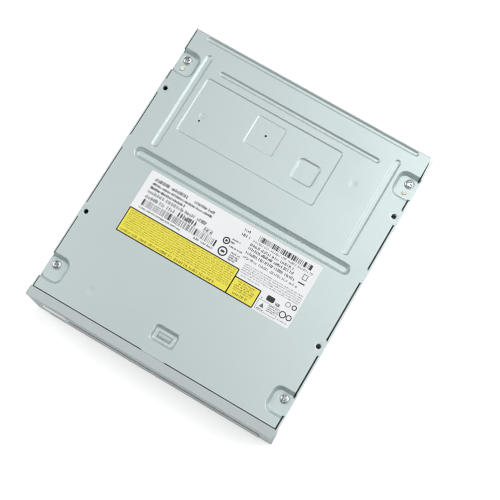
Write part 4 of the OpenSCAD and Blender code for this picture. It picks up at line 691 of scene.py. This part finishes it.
def hole_patch(hole, vertex, faces):
    """A ring of faces between a square of grid lines and a round hole."""
    hx, hy, radius, half, _ = hole
    on_x = [x for x in xs if hx - half - 1e-3 <= x <= hx + half + 1e-3]
    on_y = [y for y in ss if hy - half - 1e-3 <= y <= hy + half + 1e-3]
    loop = ([(x, on_y[0]) for x in on_x[:-1]] + [(on_x[-1], y) for y in on_y[:-1]]
            + [(x, on_y[-1]) for x in on_x[:0:-1]] + [(on_x[0], y) for y in on_y[:0:-1]])
    rings = [[vertex(x, y) for x, y in loop]]
    for share in RING_SHARES:
        ring = []
        for x, y in loop:
            angle = math.atan2(y - hy, x - hx)
            rx, ry = hx + radius * math.cos(angle), hy + radius * math.sin(angle)
            ring.append(vertex(x + (rx - x) * share, y + (ry - y) * share))
        rings.append(ring)
    for outer, inner in zip(rings, rings[1:]):
        for k in range(len(loop)):
            n = (k + 1) % len(loop)
            faces.append([outer[k], outer[n], inner[n], inner[k]])


# %% [markdown]
# ### The closed sheet
# The outer layer is the grid, the inner layer is the same grid one sheet's thickness deeper, and a
# rim of faces joins them along each open edge. An edge is open where only one face uses it.

# %% Build the sheet
def build_plate():
    """The whole sheet as one closed mesh with its true normals."""
    points, faces, index = [], [], {}

    def vertex(x, s):
        key = (round(x, 5), round(s, 5))
        if key not in index:
            index[key] = len(points)
            points.append((x, s))
        return index[key]

    for i in range(len(xs) - 1):
        for j in range(len(ss) - 1):
            if cell_kept((xs[i] + xs[i + 1]) / 2, (ss[j] + ss[j + 1]) / 2):
                faces.append([vertex(xs[i], ss[j]), vertex(xs[i + 1], ss[j]),
                              vertex(xs[i + 1], ss[j + 1]), vertex(xs[i], ss[j + 1])])
    for hole in HOLES:
        hole_patch(hole, vertex, faces)

    used = {(a, b) for face in faces for a, b in zip(face, face[1:] + face[:1])}
    rim = sorted((a, b) for a, b in used if (b, a) not in used)
    count = len(points)
    x, s = np.array(points).T
    co = np.concatenate([sheet_points(x, s, 0), sheet_points(x, s, 1)])
    outer = sheet_normals(x, s)
    all_faces = faces + [[v + count for v in reversed(face)] for face in faces]
    all_faces += [[b, a, a + count, b + count] for a, b in rim]

    mesh = bpy.data.meshes.new("underside_plate")
    mesh.from_pydata(co.tolist(), [], all_faces)
    mesh.shade_smooth()
    normals = np.concatenate([outer, -outer])
    by_loop = []
    for polygon in mesh.polygons:
        if polygon.index < 2 * len(faces):
            by_loop += [tuple(normals[v]) for v in polygon.vertices]
        else:
            by_loop += [tuple(polygon.normal)] * len(polygon.vertices)
    mesh.normals_split_custom_set(by_loop)
    return mesh


plate = new_object("underside_plate", build_plate())
dress(plate, "zinc_sheet")
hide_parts("bottom_plate")
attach(plate, "case")
print("plate triangles:", sum(len(p.vertices) - 2 for p in plate.data.polygons))

# %% [markdown]
# ## Shapes from outlines
# Print, contacts and small board parts are thin, so each is a closed slab over an outline. One
# piece can hold many slabs: all marks of one ink are one object, as one pass of a press is.

# %% Slabs, bands and outlines
def rect(x0, y0, x1, y1):
    """A rectangle, counterclockwise."""
    return [(x0, y0), (x1, y0), (x1, y1), (x0, y1)]


def arc(x, y, radius, start, stop, steps):
    """Points of an arc, with its angles in degrees."""
    angles = [math.radians(start + (stop - start) * k / steps) for k in range(steps + 1)]
    return [(x + radius * math.cos(a), y + radius * math.sin(a)) for a in angles]


def round_rect(x0, y0, x1, y1, radius, steps=5):
    """A rectangle with round corners, counterclockwise."""
    return (arc(x1 - radius, y0 + radius, radius, -90, 0, steps)
            + arc(x1 - radius, y1 - radius, radius, 0, 90, steps)
            + arc(x0 + radius, y1 - radius, radius, 90, 180, steps)
            + arc(x0 + radius, y0 + radius, radius, 180, 270, steps))


def disc(x, y, radius, steps=28):
    """A circle, counterclockwise."""
    return arc(x, y, radius, 0, 360, steps)[:-1]


def slab(parts, outline, z0, z1):
    """Adds a closed slab over a counterclockwise outline."""
    points, faces = parts
    base, n = len(points), len(outline)
    points += [(x, y, z) for z in (z0, z1) for x, y in outline]
    faces += [list(range(base + n - 1, base - 1, -1)), list(range(base + n, base + 2 * n))]
    for k in range(n):
        after = (k + 1) % n
        faces.append([base + k, base + after, base + n + after, base + n + k])


def band(parts, outer, inner, z0, z1):
    """Adds a closed ring between two outlines with the same number of points."""
    points, faces = parts
    n = len(outer)
    rows = []
    for outline, z in ((outer, z0), (outer, z1), (inner, z1), (inner, z0)):
        rows.append(len(points))
        points += [(x, y, z) for x, y in outline]
    for a, b in zip(rows, rows[1:] + rows[:1]):
        faces += [[a + k, a + (k + 1) % n, b + (k + 1) % n, b + k] for k in range(n)]


def piece(name, parts, slot, body, look=None, smooth=None):
    """Makes an object of the collected points and faces, in mm from the case's front."""
    points, faces = parts
    mesh = bpy.data.meshes.new(name)
    mesh.from_pydata([(x * MM, (y + FRONT) * MM, z * MM) for x, y, z in points], [], faces)
    if smooth:
        mesh.shade_smooth()
        mesh.set_sharp_from_angle(angle=math.radians(smooth))
    obj = new_object(name, mesh)
    dress(obj, slot, look)
    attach(obj, body)
    print(name, "faces:", len(faces))
    return obj


# %% [markdown]
# ## The label
# The label is a white sticker with two yellow fields that have dark borders. Paper, fields and inks
# lie on each other, each a hundredth of a millimetre higher, and all stay within the label's own
# thickness. A slab starts a little under the surface that it lies on, so no gap shows.

# %% Paper, yellow fields and their dark borders
LABEL = (-51.7, 46.9, 51.7, 84.3)
PAPER_Z = TOP + 0.085
FIELD_Z = TOP + 0.095
INK_Z = TOP + 0.105
ON_PAPER = PAPER_Z - 0.01
ON_FIELD = FIELD_Z - 0.005
FIELDS = [(-51.5, 46.95, 15.1, 61.7), (14.45, 46.95, 30.55, 57.6)]
FIELD_BORDER = 0.65
PAPER_CORNER, FIELD_CORNER, INNER_CORNER = 1.0, 0.7, 0.25

paper_parts = ([], [])
slab(paper_parts, round_rect(*LABEL, PAPER_CORNER), TOP, PAPER_Z)
label_sheet = piece("label_sheet", paper_parts, "label_paper", "case")
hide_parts("rating_label")

field_parts, border_parts = ([], []), ([], [])
for x0, y0, x1, y1 in FIELDS:
    inner = round_rect(x0 + FIELD_BORDER, y0 + FIELD_BORDER, x1 - FIELD_BORDER, y1 - FIELD_BORDER,
                       INNER_CORNER)
    slab(field_parts, inner, ON_PAPER, FIELD_Z)
    band(border_parts, round_rect(x0, y0, x1, y1, FIELD_CORNER), inner, ON_PAPER, INK_Z)
piece("label_fields", field_parts, "label_paper", "case", "print_yellow")
piece("label_borders", border_parts, "label_paper", "case", "print_black")

# %% [markdown]
# ### Rows of print
# At the camera's distance a line of small print is a row of tiny dark strokes with gaps between
# groups. So each row here is made of short upright strokes in groups, some with a short crossbar,
# and a striped field is a run of bars of random width. A seeded random series keeps every stroke
# where it is from run to run.

# %% Strokes and stripes
SEED = 12
strokes = random.Random(SEED)


def print_row(parts, x0, x1, y, tall, fill, z0):
    """A row of short upright strokes in groups; fill is the share of ink in a group."""
    x = x0
    pitch = 0.42 * tall
    while x < x1 - pitch:
        for _ in range(strokes.randint(3, 10)):
            wide = pitch * fill * strokes.uniform(0.8, 1.3)
            if x + wide > x1:
                break
            high = tall * strokes.choice((1.0, 1.0, 0.72))
            slab(parts, rect(x, y - tall / 2, x + wide, y - tall / 2 + high), z0, INK_Z)
            if strokes.random() < 0.55:
                level = y - tall / 2 + strokes.choice((0.0, 0.4, 0.8)) * (high - 0.2 * tall)
                crossbar = rect(x + wide, level, x + wide + 0.45 * pitch, level + 0.18 * tall)
                slab(parts, crossbar, z0, INK_Z)
            x += pitch * strokes.choice((1.0, 1.5))
        x += 0.55 * tall


def stripes(dark, light, x0, x1, y0, y1, solid):
    """A field of upright stripes of random width; the share called solid is in the dark ink."""
    x = x0
    while x < x1:
        wide = strokes.choice((0.22, 0.22, 0.3, 0.44))
        ink = dark if strokes.random() < solid or x == x0 else light
        slab(ink, rect(x, y0, min(x + wide, x1), y1), ON_PAPER, INK_Z)
        x += wide + strokes.choice((0.26, 0.4, 0.66))


# %% Fill the label with rows
black_ink, grey_ink, olive_ink = ([], []), ([], []), ([], [])
# x0, x1, y, height, share of ink
BLACK_ROWS = [(-47.6, -26.6, 80.7, 1.9, 0.55), (-47.6, -11.2, 78.1, 1.3, 0.75),
              (-47.6, -26.2, 75.8, 1.5, 0.8), (-27.6, -15.4, 70.4, 2.5, 0.62),
              (-47.5, -22.0, 63.7, 1.0, 0.6), (-14.2, -2.8, 63.8, 1.2, 0.5),
              (6.6, 10.4, 81.2, 1.5, 0.6), (6.5, 11.8, 78.4, 1.5, 0.6), (13.5, 49.2, 78.1, 1.2, 0.35)]
GREY_ROWS = [
    (-23.6, -11.4, 80.6, 1.7, 0.7), (-47.6, -12.4, 73.4, 1.9, 0.6), (-47.6, -29.4, 70.4, 2.0, 0.55),
    (13.1, 39.4, 75.8, 1.5, 0.6), (13.1, 40.8, 73.6, 1.5, 0.7), (13.1, 42.2, 71.1, 1.6, 0.6),
    (13.1, 45.4, 68.4, 1.4, 0.5), (3.6, 8.8, 73.5, 0.8, 0.7), (3.6, 6.6, 71.7, 1.0, 0.7),
    (3.8, 11.8, 69.5, 0.9, 0.7), *[(6.6, 11.8, y, 0.9, 0.8) for y in (67.0, 65.6, 64.4, 63.2)],
    (-11.6, -7.4, 70.6, 1.2, 0.8), (39.9, 43.0, 55.2, 1.6, 0.7), (32.0, 33.2, 54.7, 1.2, 0.8),
    *[(37.4, 43.0, y, 0.6, 0.7) for y in (52.9, 51.9, 50.9, 49.9)],
    (32.4, 36.2, 48.9, 0.7, 0.7), (44.6, 50.6, 48.8, 0.6, 0.6),
    # the fine print
    *[(15.8, 50.8, y, 0.7, 0.45) for y in (65.6, 64.4, 63.2, 62.0, 60.8)], (17.0, 28.0, 59.3, 0.7, 0.45)]
# the rows of the two yellow fields
YELLOW_ROWS = [
    *[(-49.8, 13.8, 60.25 - 1.16 * k, 0.72, 0.42) for k in range(9)], (-49.8, 6.8, 49.0, 1.4, 0.5),
    *[(x0, x1, y, 0.8, 0.5) for x0, x1, y in (
        (17.6, 27.6, 55.9), (18.4, 27.0, 54.7), (16.6, 28.4, 53.5), (16.8, 28.2, 52.3),
        (17.0, 28.0, 51.2))],
    (17.8, 26.8, 49.3, 1.4, 0.5)]
# the two striped fields: y0, y1, and the broad bars in them as x and width
LEFT_STRIPES = (65.0, 68.7)
LEFT_BARS = [(-47.2, 0.9), (-31.0, 0.7), (-15.3, 0.5), (-3.7, 0.9)]
RIGHT_STRIPES = (79.4, 82.3)
RIGHT_BARS = [(17.8, 0.7), (23.8, 0.6), (26.0, 0.6), (30.0, 0.7), (31.4, 0.5), (32.8, 1.0),
              (35.0, 0.8), (36.5, 0.5), (42.4, 0.9), (45.6, 0.9)]

for ink, rows, z0 in ((black_ink, BLACK_ROWS, ON_PAPER), (grey_ink, GREY_ROWS, ON_PAPER),
                      (olive_ink, YELLOW_ROWS, ON_FIELD)):
    for row in rows:
        print_row(ink, *row, z0)
stripes(black_ink, grey_ink, -46.0, -4.0, *LEFT_STRIPES, 0.08)
stripes(black_ink, grey_ink, 15.4, 47.6, *RIGHT_STRIPES, 0.4)
for bars, (y0, y1) in ((LEFT_BARS, LEFT_STRIPES), (RIGHT_BARS, RIGHT_STRIPES)):
    for x, wide in bars:
        slab(black_ink, rect(x, y0, x + wide, y1), ON_PAPER, INK_Z + 0.005)
print("strokes in all:", sum(len(ink[1]) // 6 for ink in (black_ink, grey_ink, olive_ink)))

# %% [markdown]
# ### Marks
# Rings, dots, boxes and a triangle fill the places where a label has its marks.

# %% Rings, dots and boxes
def ring_mark(parts, x, y, radius, wide):
    """A ring of ink."""
    band(parts, disc(x, y, radius), disc(x, y, radius - wide), ON_PAPER, INK_Z)


def box_mark(parts, x0, y0, x1, y1, wide):
    """A frame of ink with slightly round corners."""
    outer = round_rect(x0, y0, x1, y1, 0.2)
    inner = round_rect(x0 + wide, y0 + wide, x1 - wide, y1 - wide, 0.1)
    band(parts, outer, inner, ON_PAPER, INK_Z)


ring_mark(black_ink, 2.4, 65.3, 2.65, 0.75)
ring_mark(black_ink, 1.3, 71.2, 2.0, 0.7)
for outline in (round_rect(1.3, 64.7, 3.5, 65.9, 0.3), disc(1.3, 71.2, 0.7, 16),
                rect(44.2, 70.8, 48.0, 71.5), round_rect(34.4, 54.6, 38.9, 57.6, 0.9)):
    slab(black_ink, outline, ON_PAPER, INK_Z)
for ring in ((49.4, 58.2, 1.4, 0.55), (45.9, 52.2, 1.9, 0.55), (49.5, 52.2, 1.6, 0.55)):
    ring_mark(black_ink, *ring)
ring_mark(grey_ink, 45.8, 58.1, 1.4, 0.35)
for box in ((44.9, 73.2, 47.6, 76.4, 0.4), (31.4, 48.0, 43.6, 53.6, 0.2),
            (-12.0, 69.2, -7.0, 71.8, 0.22)):
    box_mark(grey_ink, *box)
slab(grey_ink, [(33.0, 50.0), (35.6, 50.0), (34.3, 52.4)], ON_PAPER, INK_Z)
piece("label_print_black", black_ink, "label_paper", "case", "print_black")
piece("label_print_grey", grey_ink, "label_paper", "case", "print_grey")
piece("label_print_olive", olive_ink, "label_paper", "case", "print_olive")

# %% [markdown]
# ## Thermal pads
# Two soft pads take the heat of the chips to the plate. The left one has a round hole under the
# small hole of the plate, so that the dark chip shows through both.

# %% Two soft pads
PAD_CORNER = 0.6
PAD_HOLE_R = 1.6
pad_node = frame["nodes"]["thermal_pads"]
pad_points = [(pad_node.matrix_world @ v.co) / MM for v in pad_node.data.vertices]
pads = ([], [])
for side in (-1, 1):
    own = [p for p in pad_points if p.x * side > 0]
    x0, x1 = min(p.x for p in own), max(p.x for p in own)
    y0, y1 = min(p.y for p in own) - FRONT, max(p.y for p in own) - FRONT
    z0, z1 = min(p.z for p in own), max(p.z for p in own)
    edge = round_rect(x0, y0, x1, y1, PAD_CORNER, 8)
    if side < 0:
        turns = [math.atan2(y - (y0 + y1) / 2, x - (x0 + x1) / 2) for x, y in edge]
        rim = [(CHIP_HOLE[0] + PAD_HOLE_R * math.cos(a), CHIP_HOLE[1] + PAD_HOLE_R * math.sin(a))
               for a in turns]
        band(pads, edge, rim, z0, z1)
    else:
        slab(pads, edge, z0, z1)
soft_pads = piece("soft_pads", pads, "pad_rubber", "case", smooth=40)
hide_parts("thermal_pads")

# %% [markdown]
# ## Screws
# A pan head is turned first, and then its cross is struck into it with sloping walls. The head here
# is a polar grid whose height is the dome less the depth of the cross.

# %% A screw with a struck cross
SCREW_STEPS = 64
DOME_SHARES = (0.97, 0.9, 0.82, 0.74, 0.7, 0.66, 0.62, 0.56, 0.5, 0.43, 0.36, 0.29, 0.22, 0.15, 0.08)
CROSS_DEPTH = 0.85


def cross_depth(x, y, head_r, deep):
    """Depth of a cross recess at a point of the head: its wings get narrower outwards."""
    across, along = min(abs(x), abs(y)), max(abs(x), abs(y))
    wing = 0.25 * head_r * (1 - 0.4 * along / head_r)
    wall = min(max((wing - across) / (0.08 * head_r), 0), 1)
    reach = min(max((0.74 * head_r - along) / (0.16 * head_r), 0), 1)
    return deep * wall * reach


def tube_faces(base, rows, steps):
    """Faces of a closed tube that is made of rows with the same number of points."""
    faces = []
    for i in range(rows - 1):
        a, b = base + i * steps, base + (i + 1) * steps
        faces += [[a + k, a + (k + 1) % steps, b + (k + 1) % steps, b + k] for k in range(steps)]
    last = base + (rows - 1) * steps
    return faces + [list(range(base + steps - 1, base - 1, -1)), list(range(last, last + steps))]


def revolve(parts, frame_of, rows, steps):
    """Adds a closed surface from rows of (radius, height) or functions of the angle."""
    points, faces = parts
    base = len(points)
    for row in rows:
        for k in range(steps):
            angle = 2 * math.pi * k / steps
            radius, height = row(angle) if callable(row) else row
            points.append(frame_of(radius * math.cos(angle), radius * math.sin(angle), height))
    faces += tube_faces(base, len(rows), steps)


def screw(parts, place, turn, head_r, head_h, shank_r, length):
    """A pan-head screw that points down, with its head standing on a place."""
    x0, y0, z0 = place

    def frame_of(x, y, z):
        c, s = math.cos(turn), math.sin(turn)
        return (x0 + c * x - s * y, y0 + s * x + c * y, z0 + z)

    rows = [(0.3 * shank_r, -length), (0.8 * shank_r, -length + 0.2), (shank_r, -length + 0.6),
            (shank_r, -0.02), (0.97 * head_r, 0.0), (head_r, 0.06 * head_h), (head_r, 0.45 * head_h)]
    for share in DOME_SHARES:
        dome = head_h * (0.45 + 0.55 * math.sqrt(max(0, 1 - share ** 4)))

        def row(angle, share=share, dome=dome):
            x, y = share * head_r * math.cos(angle), share * head_r * math.sin(angle)
            return share * head_r, dome - cross_depth(x, y, head_r, CROSS_DEPTH * head_h)

        rows.append(row)
    revolve(parts, frame_of, rows, SCREW_STEPS)


# %% The four screws of the case
SCREW_HEAD_Z = TOP - 3.15
FIRST_TURN, TURN_STEP = 0.5, 1.3
case_screw_parts = ([], [])
for index, (sx, sy) in enumerate((side * SCREW_X, y) for side in (-1, 1) for y in SCREW_YS):
    screw(case_screw_parts, (sx, sy, SCREW_HEAD_Z), FIRST_TURN + TURN_STEP * index, head_r=2.3,
          head_h=1.4, shank_r=1.2, length=7.8)
case_screws = piece("case_screws", case_screw_parts, "screw_steel", "case", smooth=38)
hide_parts("cover_screws")

# %% [markdown]
# ## Drawn collars with their threads
# A sheet of 0.8 mm is too thin for an M3 thread, so the press draws a collar under each threaded
# hole and the thread is cut in it. The collars of the underside plate and the ridges of the threads
# in all twelve holes are added here; from outside they make the holes look cut and not just dark.

# %% Ridge of a thread
def helix_ridge(parts, frame_of, root_r, tip_r, pitch, start, stop, steps=20):
    """The ridge of a thread inside a hole: it winds along the axis and reaches inwards to tip_r."""
    points, faces = parts
    base = len(points)
    count = max(2, round((stop - start) / pitch * steps))
    for k in range(count + 1):
        angle = 2 * math.pi * k / steps
        along = start + (stop - start) * k / count
        fade = min(1.0, k / 4, (count - k) / 4)
        tip = root_r + (tip_r - root_r) * (0.15 + 0.85 * fade)
        for r, shift in ((root_r, -0.38), (tip, 0.0), (root_r, 0.38)):
            points.append(frame_of(r * math.cos(angle), r * math.sin(angle), along + shift * pitch))
    for k in range(count):
        for j in range(3):
            a, b = base + 3 * k + j, base + 3 * k + (j + 1) % 3
            faces.append([a + 3, b + 3, b, a])
    last = base + 3 * count
    faces += [[base + 1, base + 2, base], [last + 2, last + 1, last]]


# %% Collars and threads
CORE_R = 1.35
COLLAR_R = 1.9
COLLAR_Z = (TOP - SHEET - 1.2, TOP - 0.45)
THREAD = (CORE_R + 0.03, CORE_R - 0.12, 0.5)
THREAD_Z = (TOP - SHEET - 0.9, TOP - 1.0)
SIDE_THREAD_X = (71.5, 72.6)
SIDE_HOLE_ZS = (TOP - 10, TOP - 21.84)


def upright_hole(hx, hy):
    """The frame of a hole along z."""
    return lambda x, y, z: (hx + x, hy + y, z)


def side_hole(side, hy, hz):
    """The frame of a hole in the left or right wall."""
    return lambda x, y, z: (side * z, hy + side * x, hz + y)


collars, threads = ([], []), ([], [])
for hx, hy in ((side * HOLE_X, y) for side in (-1, 1) for y in HOLE_YS):
    band(collars, disc(hx, hy, COLLAR_R), disc(hx, hy, CORE_R), *COLLAR_Z)
    helix_ridge(threads, upright_hole(hx, hy), *THREAD, *THREAD_Z)
for side in (-1, 1):
    for hy in HOLE_YS:
        for hz in SIDE_HOLE_ZS:
            helix_ridge(threads, side_hole(side, hy, hz), *THREAD, *SIDE_THREAD_X)
piece("plate_collars", collars, "zinc_sheet", "case", smooth=40)
piece("hole_threads", threads, "zinc_sheet", "case", smooth=60)

# %% [markdown]
# ## Contacts of the data and power connector
# Each tongue of the rear connector carries a row of flat gold-plated contacts at 1.27 mm pitch,
# seven for data and fifteen for power. They are thin strips, and some are longer, so that they touch
# first.

# %% Contact strips on both tongues
CONTACT_PITCH = 1.27
CONTACT_HALF = 0.4
CONTACT_Y0, CONTACT_Y1, LONG_Y1 = 159.4, 163.4, 163.7
TONGUE_Z = 33.2
# the middle of each row and its number of contacts
CONTACT_ROWS = ((17.1, 7), (37.4, 15))
contact_parts = ([], [])
for middle, count in CONTACT_ROWS:
    for k in range(count):
        x = middle + (k - (count - 1) / 2) * CONTACT_PITCH
        reach = CONTACT_Y1 if k % 4 else LONG_Y1
        strip = round_rect(x - CONTACT_HALF, CONTACT_Y0, x + CONTACT_HALF, reach, 0.15, 2)
        slab(contact_parts, strip, TONGUE_Z - 0.05, TONGUE_Z + 0.06)
piece("connector_contacts", contact_parts, "brass", "case")

# %% [markdown]
# ## The lead screw
# The pickup's lead screw has a coarse single thread of 3 mm pitch with a rounded groove. The rod is
# a grid in angle and length whose radius drops in the groove, so the groove winds by itself.

# %% Threaded rod that replaces the plain one
ROD_R = 1.5
GROOVE_DEEP = 0.3
GROOVE_PITCH = 3.0
GROOVE_WIDTH = 0.7
PLAIN_END = 1.5
ROD_STEPS, ROD_ROW = 24, 0.3


def lead_screw_mesh(parts, x, z, y0, y1):
    """A rod along y with a helical groove between plain ends."""
    points, faces = parts
    rows = round((y1 - y0) / ROD_ROW)
    for i in range(rows + 1):
        y = y0 + (y1 - y0) * i / rows
        fade = min(1.0, max(0.0, y - y0 - PLAIN_END), max(0.0, y1 - PLAIN_END - y))
        for k in range(ROD_STEPS):
            angle = 2 * math.pi * k / ROD_STEPS
            phase = ((y - y0) / GROOVE_PITCH - k / ROD_STEPS) % 1.0
            within = min(abs(phase - 0.5) / GROOVE_WIDTH, 0.5)
            groove = math.cos(math.pi * within)
            r = ROD_R - GROOVE_DEEP * groove * fade
            points.append((x + r * math.sin(angle), y, z + r * math.cos(angle)))
    faces += tube_faces(0, rows + 1, ROD_STEPS)


rod_low, rod_high = (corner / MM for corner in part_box("lead_screw"))
rod_parts = ([], [])
lead_screw_mesh(rod_parts, (rod_low.x + rod_high.x) / 2, (rod_low.z + rod_high.z) / 2,
                rod_low.y - FRONT, rod_high.y - FRONT)
threaded_rod = piece("threaded_rod", rod_parts, "bright_steel", "lead_screw", smooth=50)
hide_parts("lead_screw")
